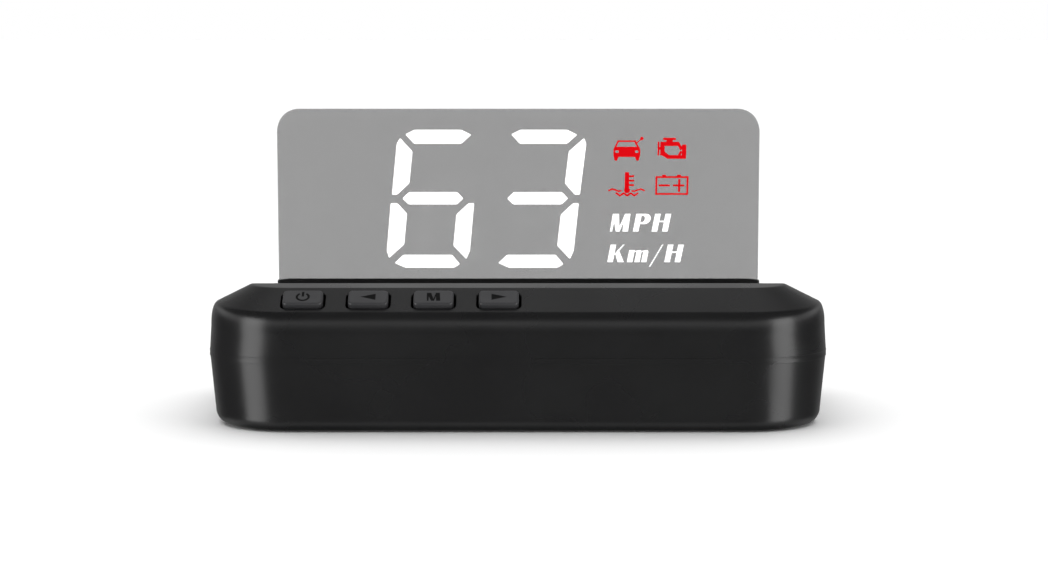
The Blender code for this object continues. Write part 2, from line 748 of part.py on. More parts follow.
def segment_outlines():
    """The seven segments of an upright digit with its lower left corner at the origin."""
    w, h, t = DIGIT_WIDTH, DIGIT_HEIGHT, STROKE
    tip, shoulder, gap = 1.7 * MM, 3.6 * MM, 0.9 * MM
    side = 3.5 * MM
    middle = h / 2
    top = [(tip, h - 1 * MM), (shoulder, h), (w - shoulder, h), (w - tip, h - 1 * MM)]
    top += [(w - shoulder, h - t), (shoulder, h - t)]
    across = [(tip + 0.5 * MM, middle), (shoulder, middle - t / 2), (w - shoulder, middle - t / 2)]
    across += [(w - tip - 0.5 * MM, middle)]
    across += [(w - shoulder, middle + t / 2), (shoulder, middle + t / 2)]
    low = middle + gap
    left = [(0, low), (1.1 * MM, low), (side, low + 2.5 * MM), (side, h - t - 1.6 * MM)]
    left += [(0.6 * MM, h - 1.8 * MM), (0, h - 3.1 * MM)]
    right = [(w - x, y) for x, y in left]
    segments = {"top": top, "middle": across, "upper_left": left, "upper_right": right}
    mirrored = (("top", "bottom"), ("upper_left", "lower_left"), ("upper_right", "lower_right"))
    for upper, lower in mirrored:
        segments[lower] = [(x, h - y) for x, y in segments[upper]]
    return segments


def display_point(x, height):
    """A point of the upright reading, slanted, scaled and flipped onto the display."""
    middle_y = (STACK_FRONT + STACK_REAR) / 2
    x += DIGIT_SLANT * height
    return (x * DISPLAY_SCALE, middle_y - (height - DIGIT_HEIGHT / 2) * DISPLAY_SCALE)


def rectangle(x, height, width, tall):
    """Outline of a rectangle round its centre."""
    left, right = x - width / 2, x + width / 2
    low, high = height - tall / 2, height + tall / 2
    return [(left, low), (right, low), (right, high), (left, high)]


def well_outlines():
    """One light well for each segment of 199, each of four warning signs and two unit signs."""
    outlines = []
    segments = segment_outlines()
    for x0, names in (
        (DIGIT_LEFT - DIGIT_PITCH, ("upper_right", "lower_right")),
        (DIGIT_LEFT, segments),
        (DIGIT_LEFT + DIGIT_PITCH, segments),
    ):
        for name in names:
            outlines.append([(x0 + x, y) for x, y in segments[name]])
    for x in (19.2 * MM, 28.8 * MM):
        for height in (26.6 * MM, 18.6 * MM):
            outlines.append(rectangle(x, height, 7.4 * MM, 5.6 * MM))
    outlines.append(rectangle(24.4 * MM, 10.2 * MM, 15 * MM, 4.6 * MM))
    outlines.append(rectangle(25.6 * MM, 2.9 * MM, 17 * MM, 4.8 * MM))
    return [[display_point(x, y) for x, y in outline] for outline in outlines]


def stack_sheet(
    name, top, thickness, look, half=STACK_HALF, front=STACK_FRONT, rear=STACK_REAR
):
    """Sheet of the display stack, which is layered down from the window."""
    bm = slab(half, front, rear, top - thickness, top)
    return add_object(name, bm, look, SLOPE_FRAME)


def make_display():
    window_bottom = -RECESS_DEPTH - WINDOW_THICKNESS
    window = slab(WINDOW_HALF, WINDOW_FRONT, WINDOW_REAR, window_bottom, -RECESS_DEPTH, 1 * MM)
    add_object("display_window", window, window_acrylic(), SLOPE_FRAME)
    wells = well_outlines()
    mask = stack_sheet("display_mask", MASK_TOP, 0.3 * MM, printed_film())
    cut(mask, "mask_cutter", prism(wells, -30 * MM, 10 * MM), SLOPE_FRAME)
    stack_sheet("diffuser_film", DIFFUSER_TOP, 0.25 * MM, white_nylon())
    housing_height = HOUSING_TOP - HOUSING_BOTTOM
    housing = stack_sheet("segment_housing", HOUSING_TOP, housing_height, white_nylon())
    cut(housing, "well_cutter", prism(wells, -30 * MM, 10 * MM), SLOPE_FRAME)
    make_display_board(wells)


def make_display_board(wells):
    top, thickness = DISPLAY_BOARD_TOP, DISPLAY_BOARD_THICKNESS
    reach = {"half": 46.6 * MM, "front": 4 * MM, "rear": 35 * MM}
    board = stack_sheet("display_board", top, thickness, board_laminate(), **reach)
    chip_side = 1.4 * MM
    chips = []
    for outline in wells:
        x = sum(p[0] for p in outline) / len(outline)
        y = sum(p[1] for p in outline) / len(outline)
        chips.append(rectangle(x, y, chip_side, chip_side))
    low, high = DISPLAY_BOARD_TOP - 0.3 * MM, DISPLAY_BOARD_TOP + 0.7 * MM
    join(board, "light_chips", prism(chips, low, high), SLOPE_FRAME)
    under = DISPLAY_BOARD_TOP - DISPLAY_BOARD_THICKNESS - GAP
    for side, (x, y) in zip(("left", "right"), DISPLAY_SCREWS):
        hole = cylinder(1.1 * MM, 5 * MM, (x * MM, y * MM, DISPLAY_BOARD_TOP), segments=16)
        cut(board, f"display_board_{side}_hole", hole, SLOPE_FRAME)
        place = (x * MM, y * MM, under)
        name = f"display_board_screw_{side}"
        make_screw(name, SLOPE_FRAME, place, 1.6 * MM, 1.0 * MM, 0.6 * MM, 4.6 * MM, -1)


# ---------------------------------------------------------------- main board


def make_main_board():
    centre = (0, BOARD_Y, BOARD_Z + BOARD_SIZE[2] / 2)
    board = add_object("main_board", box(BOARD_SIZE, centre, 1.5 * MM), board_laminate())
    names = ("front_left", "front_right", "rear_left", "rear_right")
    for corner, (x, y) in zip(names, BOARD_POSTS):
        hole = cylinder(1.2 * MM, 6 * MM, (x * MM, y * MM, BOARD_Z), segments=16)
        cut(board, f"main_board_hole_{corner}", hole)
        place = (x * MM, y * MM, CHIP_Z)
        make_screw(f"board_screw_{corner}", None, place, 1.9 * MM, 1.2 * MM, 0.9 * MM, 3.6 * MM)


def stand(name, size, x, y, look, corner=0.0, edge=0.0):
    """Part that stands on the main board."""
    bm = box(size, (x, y, CHIP_Z + size[2] / 2), corner, edge)
    add_object(name, bm, look)


def make_board_parts():
    edge = 0.2 * MM
    stand("mcu_chip", (10 * MM, 10 * MM, 1.6 * MM), -4 * MM, 6 * MM, chip_epoxy(), edge=edge)
    driver = (15 * MM, 7.5 * MM, 2.2 * MM)
    stand("led_driver_chip", driver, -1 * MM, -12 * MM, chip_epoxy(), edge=edge)
    stand("voltage_regulator", (6.6 * MM, 6.1 * MM, 2.2 * MM), -38 * MM, 7 * MM, chip_epoxy())
    stand("power_inductor", (7 * MM, 7 * MM, 3.2 * MM), -38 * MM, -5 * MM, chip_epoxy(), 1.4 * MM)
    stand("crystal_can", (11 * MM, 4.6 * MM, 3.4 * MM), 13 * MM, 0, steel(), 1.9 * MM, 0.4 * MM)
    key_socket = (12 * MM, 3 * MM, 2.1 * MM)
    stand("button_ribbon_connector", key_socket, KEY_ROW_X, -18 * MM, white_nylon())
    display_socket = (14 * MM, 3 * MM, 2.1 * MM)
    stand("display_ribbon_connector", display_socket, 14 * MM, 11 * MM, white_nylon())
    for name, y in (("filter_capacitor_front", -7 * MM), ("filter_capacitor_rear", 5 * MM)):
        can = cylinder(3.15 * MM, 5.4 * MM, (-27 * MM, y, CHIP_Z + 2.7 * MM))
        add_object(name, can, steel())
    x, y, height = 32 * MM, -8 * MM, 5.2 * MM
    body = cylinder(6 * MM, height, (x, y, CHIP_Z + height / 2), segments=32)
    buzzer = add_object("buzzer", body, chip_epoxy())
    cut(buzzer, "buzzer_hole", cylinder(1.2 * MM, 4 * MM, (x, y, CHIP_Z + height)))


def ribbon(name, x, width, path, steps=10, thickness=0.25 * MM):
    """Flat cable of constant width along a cubic curve through four (y, z) points."""
    bm = bmesh.new()
    a, b, c, d = (Vector(p) * MM for p in path)
    rows = []
    for step in range(steps + 1):
        t = step / steps
        s = 1 - t
        point = a * s**3 + b * 3 * s * s * t + c * 3 * s * t * t + d * t**3
        rows.append([bm.verts.new((x + side * width / 2, point.x, point.y)) for side in (-1, 1)])
    for low, high in zip(rows, rows[1:]):
        bm.faces.new((low[0], low[1], high[1], high[0]))
    strip = add_object(name, bm, ribbon_film())
    modifier = strip.modifiers.new("thickness", "SOLIDIFY")
    modifier.thickness = thickness
    modifier.offset = 0


def make_ribbons():
    key_path = ((-21.2, 17.2), (-19.2, 13.5), (-18, 13), (-18, 9.5))
    ribbon("button_ribbon", KEY_ROW_X, 9 * MM, key_path)
    display_path = ((3.5, 12.4), (4.5, 9.6), (11, 13.2), (11, 9.5))
    ribbon("display_ribbon", 14 * MM, 12 * MM, display_path)


def make_port():
    centre = (PORT_X, PORT_PAD_Y - 0.6 * MM - PORT_SIZE[1] / 2, PORT_Z)
    shell = add_object("usb_port_shell", box(PORT_SIZE, centre), steel())
    wall = 0.35 * MM
    inside = (PORT_SIZE[0] - 2 * wall, PORT_SIZE[1] + 2 * MM, PORT_SIZE[2] - 2 * wall)
    cut(shell, "port_inside", box(inside, centre))
    base_size = (inside[0] - 0.2 * MM, 1.6 * MM, inside[2] - 0.2 * MM)
    base_y = centre[1] - PORT_SIZE[1] / 2 + 1.1 * MM
    base = box(base_size, (PORT_X, base_y, PORT_Z))
    insulator = add_object("usb_port_tongue", base, chip_epoxy())
    tongue_size = (4.8 * MM, 6.4 * MM, 0.9 * MM)
    tongue_centre = (PORT_X, base_y + tongue_size[1] / 2, PORT_Z)
    join(insulator, "port_tongue_blade", box(tongue_size, tongue_centre))


def make_case_screws():
    names = ("front_left", "front_right", "rear_left", "rear_right")
    for corner, (x, y) in zip(names, CASE_POSTS):
        seat = (x * MM, y * MM, 3.1 * MM)
        make_screw(f"case_screw_{corner}", None, seat, 2.5 * MM, 1.8 * MM, 1.1 * MM, 14.2 * MM, -1)


def main():
    make_upper_case()
    make_lower_case()
    make_underside()
    make_reflector_plate()
    make_hinge_bar()
    make_hinge_pins()
    make_friction_washers()
    for name, x in zip(KEY_NAMES, KEY_XS):
        make_key(name, x)
        make_switch(name, x)
    make_key_board()
    make_display()
    make_main_board()
    make_board_parts()
    make_ribbons()
    make_port()
    make_case_screws()


main()
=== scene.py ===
"""Looks of the car head-up display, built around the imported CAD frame.

The driver looks along +Y at the side with the keys. Shells, keys, reflector, graphics, screws and
port are fine pieces that stand for their CAD nodes; the parts inside keep their CAD shape.
"""

import itertools
import json
import math

import bmesh
import bpy
from mathutils import Matrix, Vector, geometry

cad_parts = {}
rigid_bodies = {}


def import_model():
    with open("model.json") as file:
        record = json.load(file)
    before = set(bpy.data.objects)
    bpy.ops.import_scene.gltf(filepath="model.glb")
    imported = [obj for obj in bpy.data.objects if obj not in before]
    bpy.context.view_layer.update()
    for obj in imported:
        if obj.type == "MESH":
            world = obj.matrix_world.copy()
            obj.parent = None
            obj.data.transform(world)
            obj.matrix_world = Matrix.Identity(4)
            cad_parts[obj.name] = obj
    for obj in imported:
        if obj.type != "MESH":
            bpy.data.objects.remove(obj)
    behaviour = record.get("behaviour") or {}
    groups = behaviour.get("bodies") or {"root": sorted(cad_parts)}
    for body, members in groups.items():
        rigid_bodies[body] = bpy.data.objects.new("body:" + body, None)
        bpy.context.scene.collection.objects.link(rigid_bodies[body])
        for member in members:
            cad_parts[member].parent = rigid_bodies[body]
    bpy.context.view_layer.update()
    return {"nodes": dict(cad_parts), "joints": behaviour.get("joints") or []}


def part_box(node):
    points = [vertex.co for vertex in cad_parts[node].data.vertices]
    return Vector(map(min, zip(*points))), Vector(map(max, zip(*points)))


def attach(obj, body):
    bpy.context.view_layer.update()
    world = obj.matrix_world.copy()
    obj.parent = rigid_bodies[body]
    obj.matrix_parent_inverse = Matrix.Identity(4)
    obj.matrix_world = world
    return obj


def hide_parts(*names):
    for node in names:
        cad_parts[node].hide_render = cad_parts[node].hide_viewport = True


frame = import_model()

MM = 0.001

# ---------------------------------------------------------------- sizes read from the frame

UPPER_LOW, UPPER_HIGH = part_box("upper_case")
LOWER_LOW, LOWER_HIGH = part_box("lower_case")
HALF_X = UPPER_HIGH.x
HALF_Y = UPPER_HIGH.y
TOP_Z = UPPER_HIGH.z
BASE_Z = LOWER_LOW.z
UPPER_BOTTOM_Z = UPPER_LOW.z
LIP_TOP_Z = LOWER_HIGH.z
JOINTS = {joint["name"]: joint for joint in frame["joints"]}
HINGE = Vector(JOINTS["reflector_hinge"]["pos_m"])
PRESS = Vector(JOINTS["power_press"]["axis"])
BEVEL_ANGLE = math.atan2(PRESS.y, -PRESS.z)
KEY_NAMES = ("power", "left", "mode", "right")

# Case outline and section, the same design as the CAD shells
FRONT_RADIUS = 16.5 * MM
REAR_RADIUS = 12 * MM
CORNER_STEPS = 20
FOLD_Y = -HALF_Y + FRONT_RADIUS
SLOPE = math.radians(8)
WALL = 2 * MM
WALL_INSET = 0.35 * MM
TOP_INSET = 8.2 * MM
REAR_TOP_INSET = 1.6 * MM
BEVEL_LOW_Z = 22.25 * MM
FILLET_ON_BEVEL = 1.6 * MM
FILLET_ON_WALL = 3.6 * MM
SIDE_LIFT = 0.75 * MM
TOP_EDGE = 0.45 * MM
LOWER_TOP_Z = 14.45 * MM
SEAM_EDGE = 0.06 * MM
LIP_INSET = 1.3 * MM
REBATE_INSET = 1.0 * MM
GAP = 0.3 * MM

# Recess, window and display, in the frame of the slope: Y down the slope, Z out of it
RECESS_HALF = 51.25 * MM
RECESS_DEPTH = 2.2 * MM
WINDOW_HALF = 46 * MM
WINDOW_FRONT = 3 * MM
WINDOW_REAR = 36 * MM
WINDOW_THICKNESS = 1.1 * MM
STACK_HALF = 42.4 * MM
STACK_FRONT = 6.1 * MM
STACK_REAR = 32.9 * MM
MASK_TOP = -3.65 * MM
DISPLAY_SCALE = 0.82

# Reflector and hinge
LEAN = math.radians(18)
PLATE_HALF_DEPTH = 1 * MM
PLATE_LOW = 1.5 * MM
PLATE_TOP = 41.3 * MM
PLATE_HALF_LOW = 50.45 * MM
PLATE_HALF_TOP = 49.5 * MM
PLATE_CORNER = 4.6 * MM
BAR_HALF = 50.9 * MM
BAR_RADIUS = 2.6 * MM
JAW_HALF = 1.9 * MM
JAW_TOP = 2.9 * MM
JAW_CHAMFER = 0.5 * MM
JAW_END_CUT = 2.4 * MM
PIN_RADIUS = 0.9 * MM
EAR_INNER = 51.5 * MM
EAR_OUTER = 54.4 * MM
EAR_RADIUS = 1.75 * MM

# Keys, in the frame of the bevel
KEY_SIZE = (7.6 * MM, 4.35 * MM)
KEY_HEIGHT = 1.0 * MM
KEY_WALL = 3.1 * MM
KEY_FLANGE = (8.8 * MM, 5.8 * MM, 0.8 * MM)
SIGN_DEPTH = 0.14 * MM

# Reading of the reflector, in millimetres: X to the right, Y up the plate from the hinge axis
READING_BASE = 6.33
READING_MIDDLE = 21.93
DIGIT_SLANT = 0.1074
DIGIT_LEFT = -28.24
DIGIT_PITCH = 21.92
DIGIT_WIDTH = 17.4
LETTER_WIDTH = 3.6
LETTER_HEIGHT = 4.03
LETTER_SLANT = 0.167
READING_SCALE = 0.991
READING_RISE = 0.17


def turned_x(angle, location):
    return Matrix.Translation(location) @ Matrix.Rotation(angle, 4, "X")


SLOPE_FRAME = turned_x(-SLOPE, (0, FOLD_Y, TOP_Z))
REFLECTOR_FRAME = turned_x(LEAN, HINGE)
# X to the right, Y up the reflector and Z towards the driver
PICTURE_FRAME = turned_x(LEAN + math.radians(90), HINGE)


def key_frame(name):
    """Frame on the bevel in the middle of a key: X along the row, Y up the bevel, Z out of it."""
    low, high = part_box(f"{name}_button")
    y = -HALF_Y + WALL_INSET + 0.55 * (TOP_INSET - WALL_INSET)
    z = BEVEL_LOW_Z + 0.55 * (TOP_Z - BEVEL_LOW_Z)
    return turned_x(BEVEL_ANGLE, ((low.x + high.x) / 2, y, z))


# ---------------------------------------------------------------- material nodes


def shader_of(name, colour, roughness, metallic=0.0, **sockets):
    """New material and its shader, with every uniform value set on the shader's own sockets."""
    made = bpy.data.materials.new(name)
    made.use_nodes = True
    shader = made.node_tree.nodes["Principled BSDF"]
    shader.inputs["Base Color"].default_value = (*colour, 1)
    shader.inputs["Roughness"].default_value = roughness
    shader.inputs["Metallic"].default_value = metallic
    for socket, value in sockets.items():
        shader.inputs[socket.replace("_", " ")].default_value = value
    return made, shader


def add_node(tree, kind, **values):
    node = tree.nodes.new(kind)
    for key, value in values.items():
        if hasattr(node, key):
            setattr(node, key, value)
        else:
            node.inputs[key.replace("_", " ")].default_value = value
    return node


def place_of(tree, stretch=(1, 1, 1)):
    """Object coordinates in metres, stretched."""
    coordinates = add_node(tree, "ShaderNodeTexCoord")
    mapping = add_node(tree, "ShaderNodeMapping", Scale=stretch)
    tree.links.new(coordinates.outputs["Object"], mapping.inputs["Vector"])
    return mapping.outputs["Vector"]


def noise(tree, size, detail=2.0, stretch=(1, 1, 1)):
    """Noise whose features are about size across, in metres."""
    node = add_node(tree, "ShaderNodeTexNoise", Scale=1 / size, Detail=detail)
    tree.links.new(place_of(tree, stretch), node.inputs["Vector"])
    return node.outputs["Fac"]


def stripes(tree, pitch, direction="X"):
    node = add_node(tree, "ShaderNodeTexWave", bands_direction=direction, Scale=0.314 / pitch)
    tree.links.new(place_of(tree), node.inputs["Vector"])
    return node.outputs["Fac"]


def remap(tree, value, low, high, source=(0.3, 0.7)):
    """Maps the source range of a value to low to high."""
    node = add_node(tree, "ShaderNodeMapRange")
    for index, number in enumerate((*source, low, high), start=1):
        node.inputs[index].default_value = number
    tree.links.new(value, node.inputs["Value"])
    return node.outputs["Result"]


def mix_colours(tree, value, dark, light, target):
    mix = add_node(tree, "ShaderNodeMix", data_type="RGBA")
    mix.inputs[6].default_value = (*dark, 1)
    mix.inputs[7].default_value = (*light, 1)
    tree.links.new(value, mix.inputs["Factor"])
    tree.links.new(mix.outputs[2], target)


def add_bump(tree, shader, height, distance, strength=1.0):
    node = add_node(tree, "ShaderNodeBump", Strength=strength, Distance=distance)
    tree.links.new(height, node.inputs["Height"])
    tree.links.new(node.outputs["Normal"], shader.inputs["Normal"])


def cloud_colour(made, size, colour, low, high, socket="Base Color"):
    """Lets the colour vary between two shares of itself, in clouds of this size."""
    tree = made.node_tree
    clouds = remap(tree, noise(tree, size), 0, 1)
    dark, light = (tuple(c * share for c in colour) for share in (low, high))
    mix_colours(tree, clouds, dark, light, tree.nodes["Principled BSDF"].inputs[socket])


def cloud_roughness(made, size, low, high):
    tree = made.node_tree
    clouds = remap(tree, noise(tree, size, 3), low, high)
    tree.links.new(clouds, tree.nodes["Principled BSDF"].inputs["Roughness"])


def grained(name, colour, roughness, grain, depth, metallic=0.0, stretch=(1, 1, 1), **sockets):
    """Moulded or drawn surface: fine grain, cloudy sheen and slightly uneven colour."""
    made, shader = shader_of(name, colour, roughness, metallic, **sockets)
    tree = made.node_tree
    add_bump(tree, shader, noise(tree, grain, 3, stretch), depth)
    cloud_roughness(made, 22 * MM, roughness - 0.03, roughness + 0.03)
    cloud_colour(made, 9 * MM, colour, 0.9, 1.1)
    return made


def case_plastic():
    return grained("satin_black_abs", (0.0085, 0.0085, 0.0088), 0.27, 0.2 * MM, 0.006 * MM)


def key_plastic():
    return grained("smooth_key_abs", (0.035, 0.035, 0.037), 0.3, 0.15 * MM, 0.004 * MM)


def hinge_plastic():
    return grained("satin_hinge_plastic", (0.045, 0.045, 0.046), 0.36, 0.25 * MM, 0.006 * MM)


def reflector_acrylic():
    """Sheet with a grey half-mirror coat. Light crosses both faces, so a third of it gets through."""
    colour = (0.03, 0.03, 0.03)
    made, _ = shader_of("half_mirror_acrylic", colour, 0.05, Specular_IOR_Level=0.4, Alpha=0.465)
    cloud_colour(made, 30 * MM, colour, 0.98, 1.02)
    cloud_roughness(made, 12 * MM, 0.04, 0.07)
    return made


def window_acrylic():
    colour = (0.012, 0.012, 0.014)
    made, _ = shader_of("smoked_window_acrylic", colour, 0.06, Alpha=0.3)
    cloud_roughness(made, 14 * MM, 0.05, 0.09)
    cloud_colour(made, 20 * MM, colour, 0.8, 1.2)
    return made


def printed_film():
    return grained("matt_black_print", (0.007, 0.007, 0.007), 0.6, 0.12 * MM, 0.004 * MM)


def sign_enamel():
    colour = (0.002, 0.002, 0.002)
    return grained("black_sign_enamel", colour, 0.4, 0.5 * MM, 0.003 * MM, Specular_IOR_Level=0.15)


def unlit_film():
    return grained("unlit_segment_film", (0.03, 0.03, 0.032), 0.5, 0.3 * MM, 0.005 * MM)


def lit_film(name, colour, glow):
    """Glowing graphics whose brightness is very slightly cloudy. Under the window they are the display's
    own light. On the reflector the same look is a painted reflection of the display, drawn as a glow.
    """
    dim = tuple(c * 0.2 for c in colour)
    made, _ = shader_of(name, dim, 0.5, Emission_Strength=glow, Specular_IOR_Level=0.1)
    cloud_colour(made, 2 * MM, colour, 0.95, 1, "Emission Color")
    return made


def lit_white():
    return lit_film("glowing_white_film_and_painted_reflection", (1.0, 1.0, 1.0), 1.2)


def lit_red():
    return lit_film("glowing_red_film_and_painted_reflection", (0.75, 0.0, 0.004), 0.85)


def white_nylon():
    return grained("white_nylon", (0.75, 0.75, 0.72), 0.5, 0.4 * MM, 0.01 * MM)


def board_laminate():
    """Green solder mask over faintly raised copper tracks."""
    mask, track = (0.006, 0.075, 0.03), (0.012, 0.14, 0.055)
    made, shader = shader_of("green_solder_mask", mask, 0.35)
    tree = made.node_tree
    cells = add_node(tree, "ShaderNodeTexVoronoi", distance="MANHATTAN", Scale=1 / (3.2 * MM))
    tree.links.new(place_of(tree), cells.inputs["Vector"])
    lines = remap(tree, cells.outputs["Distance"], 0, 1, (0.42, 0.46))
    mix_colours(tree, lines, mask, track, shader.inputs["Base Color"])
    add_bump(tree, shader, lines, 0.03 * MM)
    return made


def chip_epoxy():
    return grained("moulded_chip_epoxy", (0.017, 0.017, 0.018), 0.55, 0.12 * MM, 0.01 * MM)


def bright_steel():
    return grained(
        "nickel_plated_steel", (0.62, 0.62, 0.64), 0.24, 0.6 * MM, 0.003 * MM, 1.0, (1, 8, 8)
    )


def dark_steel():
    return grained("blackened_steel", (0.16, 0.16, 0.165), 0.34, 0.3 * MM, 0.006 * MM, 1.0)


def can_aluminium():
    return grained(
        "brushed_aluminium", (0.72, 0.72, 0.73), 0.3, 0.4 * MM, 0.003 * MM, 1.0, (1, 1, 12)
    )


def contact_gold():
    return grained("gold_plated_contact", (0.85, 0.6, 0.25), 0.22, 0.3 * MM, 0.002 * MM, 1.0)


def ribbon_film():
    """Translucent white cable film with a conductor every millimetre."""
    film, wire = (0.7, 0.7, 0.66), (0.3, 0.28, 0.26)
    made, shader = shader_of("flat_cable_film", film, 0.35)
    tree = made.node_tree
    lines = remap(tree, stripes(tree, 1 * MM), 0, 1, (0.6, 0.8))
    mix_colours(tree, lines, film, wire, shader.inputs["Base Color"])
    add_bump(tree, shader, lines, 0.04 * MM)
    return made


def silicone_rubber():
    return grained("matt_silicone_rubber", (0.022, 0.022, 0.022), 0.75, 0.25 * MM, 0.02 * MM)


def label_film():
    return grained("silver_label_film", (0.4, 0.4, 0.41), 0.4, 0.5 * MM, 0.003 * MM, 0.7, (1, 10, 1))


LOOKS = {
    look.__name__: look()
    for look in (
        case_plastic, key_plastic, hinge_plastic, reflector_acrylic, window_acrylic, printed_film,
        white_nylon, lit_white, lit_red, board_laminate, chip_epoxy, bright_steel, dark_steel,
        can_aluminium, ribbon_film, silicone_rubber, label_film,
    )
}
SIGN_ENAMEL = sign_enamel()
UNLIT_FILM = unlit_film()
CONTACT_GOLD = contact_gold()


# ---------------------------------------------------------------- shape helpers


def box(size, centre=(0, 0, 0), corner=0.0, edge=0.0, steps=5):
    """Block with its upright edges rounded to corner and the edges of its upper face to edge."""
    bm = bmesh.new()
    bmesh.ops.create_cube(bm, size=1)
    bmesh.ops.scale(bm, vec=size, verts=bm.verts)
    if corner:
        upright = [e for e in bm.edges if abs((e.verts[0].co - e.verts[1].co).z) > size[2] / 2]
        bmesh.ops.bevel(bm, geom=upright, offset=corner, segments=steps, profile=0.5, affect="EDGES")
    if edge:
        upper = [e for e in bm.edges if min(v.co.z for v in e.verts) > size[2] * 0.49]
        bmesh.ops.bevel(bm, geom=upper, offset=edge, segments=steps, profile=0.5, affect="EDGES")
    bmesh.ops.translate(bm, vec=centre, verts=bm.verts)
    return bm


def slab(half_x, front, rear, bottom, top, corner=0.0, edge=0.0):
    """Block given by its sides: symmetric in X, and from front to rear in Y."""
    size = (2 * half_x, rear - front, top - bottom)
    return box(size, (0, (front + rear) / 2, (bottom + top) / 2), corner, edge)


def bridge(bm, loops):
    """Faces between closed loops of vertices, from each loop to the next."""
    for low, high in zip(loops, loops[1:]):
        for i, corner in enumerate(low):
            j = (i + 1) % len(low)
            bm.faces.new((corner, low[j], high[j], high[i]))


def turned(profile, segments=32):
    """Closed solid from (radius, z) points that start and end on the Z axis."""
    bm = bmesh.new()
    rings = []
    for radius, z in profile[1:-1]:
        angles = [math.tau * i / segments for i in range(segments)]
        rings.append([bm.verts.new((radius * math.cos(a), radius * math.sin(a), z)) for a in angles])
    bridge(bm, rings)
    bm.faces.new(rings[0])
    bm.faces.new(rings[-1])
    return bm


def cylinder(radius, length, centre=(0, 0, 0), axis="Z", segments=32):
    bm = turned([(0, 0), (radius, -length / 2), (radius, length / 2), (0, 0)], segments)
    if axis == "X":
        bm.transform(Matrix.Rotation(math.radians(90), 4, "Y"))
    bmesh.ops.translate(bm, vec=centre, verts=bm.verts)
    return bm


def prism(outline, low, high):
    bm = bmesh.new()
    lower = [bm.verts.new((x, y, low)) for x, y in outline]
    upper = [bm.verts.new((x, y, high)) for x, y in outline]
    bm.faces.new(lower)
    bm.faces.new(upper)
    bridge(bm, (lower, upper))
    return bm


def arc(centre, radii, start, end, steps):
    """Points on an ellipse from one angle to another, in degrees."""
    points = []
    for step in range(steps + 1):
        angle = math.radians(start + (end - start) * step / steps)
        x = centre[0] + radii[0] * math.cos(angle)
        points.append((x, centre[1] + radii[1] * math.sin(angle)))
    return points


def rail(outline, low, high):
    """Closed solid along X between two places, with its outline given in (y, z) points."""
    bm = prism(outline, low, high)
    for vert in bm.verts:
        vert.co = Vector((vert.co.z, vert.co.x, vert.co.y))
    return bm


def placed(bm, matrix):
    bm.transform(matrix)
    return bm


def new_object(name, bm):
    bmesh.ops.recalc_face_normals(bm, faces=bm.faces)
    mesh = bpy.data.meshes.new(name)
    bm.to_mesh(mesh)
    bm.free()
    obj = bpy.data.objects.new(name, mesh)
    bpy.context.scene.collection.objects.link(obj)
    return obj


def carve(bm, steps):
    """Applies (operation, bmesh) steps in turn, and neighbouring like ones as one Boolean."""
    base = new_object("carved", bm)
    groups = []
    for operation, like_steps in itertools.groupby(steps, key=lambda step: step[0]):
        group = bpy.data.collections.new("cutters")
        bpy.context.scene.collection.children.link(group)
        for _, other in like_steps:
            group.objects.link(new_object("cutter", other))
        modifier = base.modifiers.new(operation, "BOOLEAN")
        modifier.operation = operation
        modifier.solver = "EXACT"
        modifier.operand_type = "COLLECTION"
        modifier.collection = group
        groups.append(group)
    bpy.context.view_layer.update()
    carved = bmesh.new()
    carved.from_object(base, bpy.context.evaluated_depsgraph_get())
    for group in groups:
        for cutter in list(group.objects):
            bpy.data.objects.remove(cutter)
        bpy.data.collections.remove(group)
    bpy.data.objects.remove(base)
    bmesh.ops.remove_doubles(carved, verts=carved.verts, dist=0.0005 * MM)
    bmesh.ops.dissolve_degenerate(carved, edges=carved.edges, dist=0.0005 * MM)
    return carved


def unions_first(steps):
    """The steps with all unions before all cuts, for solids that no other's cut should reach."""
    return sorted(steps, key=lambda step: step[0] != "UNION")


def piece(name, bm, body, slot, *nodes, look=None, sharp=30, weighted=False):
    """Shows a solid as a piece of a body, in a slot's finish, in place of CAD nodes."""
    obj = new_object(name, bm)
    obj.data.materials.append(look or LOOKS[slot])
    obj.data.shade_smooth()
    obj.data.set_sharp_from_angle(angle=math.radians(sharp))
    if weighted:
        modifier = obj.modifiers.new("even_normals", "WEIGHTED_NORMAL")
        modifier.keep_sharp = True
    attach(obj, body)
    if nodes:
        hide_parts(*nodes)
    return obj


# ---------------------------------------------------------------- case loft


def drop(y):
    """How far the top has fallen below the ridge at this depth."""
    return max(0.0, y - FOLD_Y) * math.tan(SLOPE)


def side_lift(z, y):
    """How much higher the bevel's lower edge lies along the sides than across the front."""
    below = (z - UPPER_BOTTOM_Z) / (BEVEL_LOW_Z - UPPER_BOTTOM_Z)
    above = (TOP_Z - z) / (TOP_Z - BEVEL_LOW_Z)
    away = min(max((y + HALF_Y) / FRONT_RADIUS, 0.0), 1.0)
    return SIDE_LIFT * max(min(below, above), 0.0) * away


def plan_outline(front, side, rear):
    """The case's widest outline moved in by these insets, with elliptical corners."""
    x_front, y_front = HALF_X - FRONT_RADIUS, -HALF_Y + FRONT_RADIUS
    x_rear, y_rear = HALF_X - REAR_RADIUS, HALF_Y - REAR_RADIUS
    front_radii = (FRONT_RADIUS - side, FRONT_RADIUS - front)
    rear_radii = (REAR_RADIUS - side, REAR_RADIUS - rear)
    return [
        *arc((x_front, y_front), front_radii, -90, 0, CORNER_STEPS),
        *arc((x_rear, y_rear), rear_radii, 0, 90, CORNER_STEPS),
        *arc((-x_rear, y_rear), rear_radii, 90, 180, CORNER_STEPS),
        *arc((-x_front, y_front), front_radii, 180, 270, CORNER_STEPS),
    ]


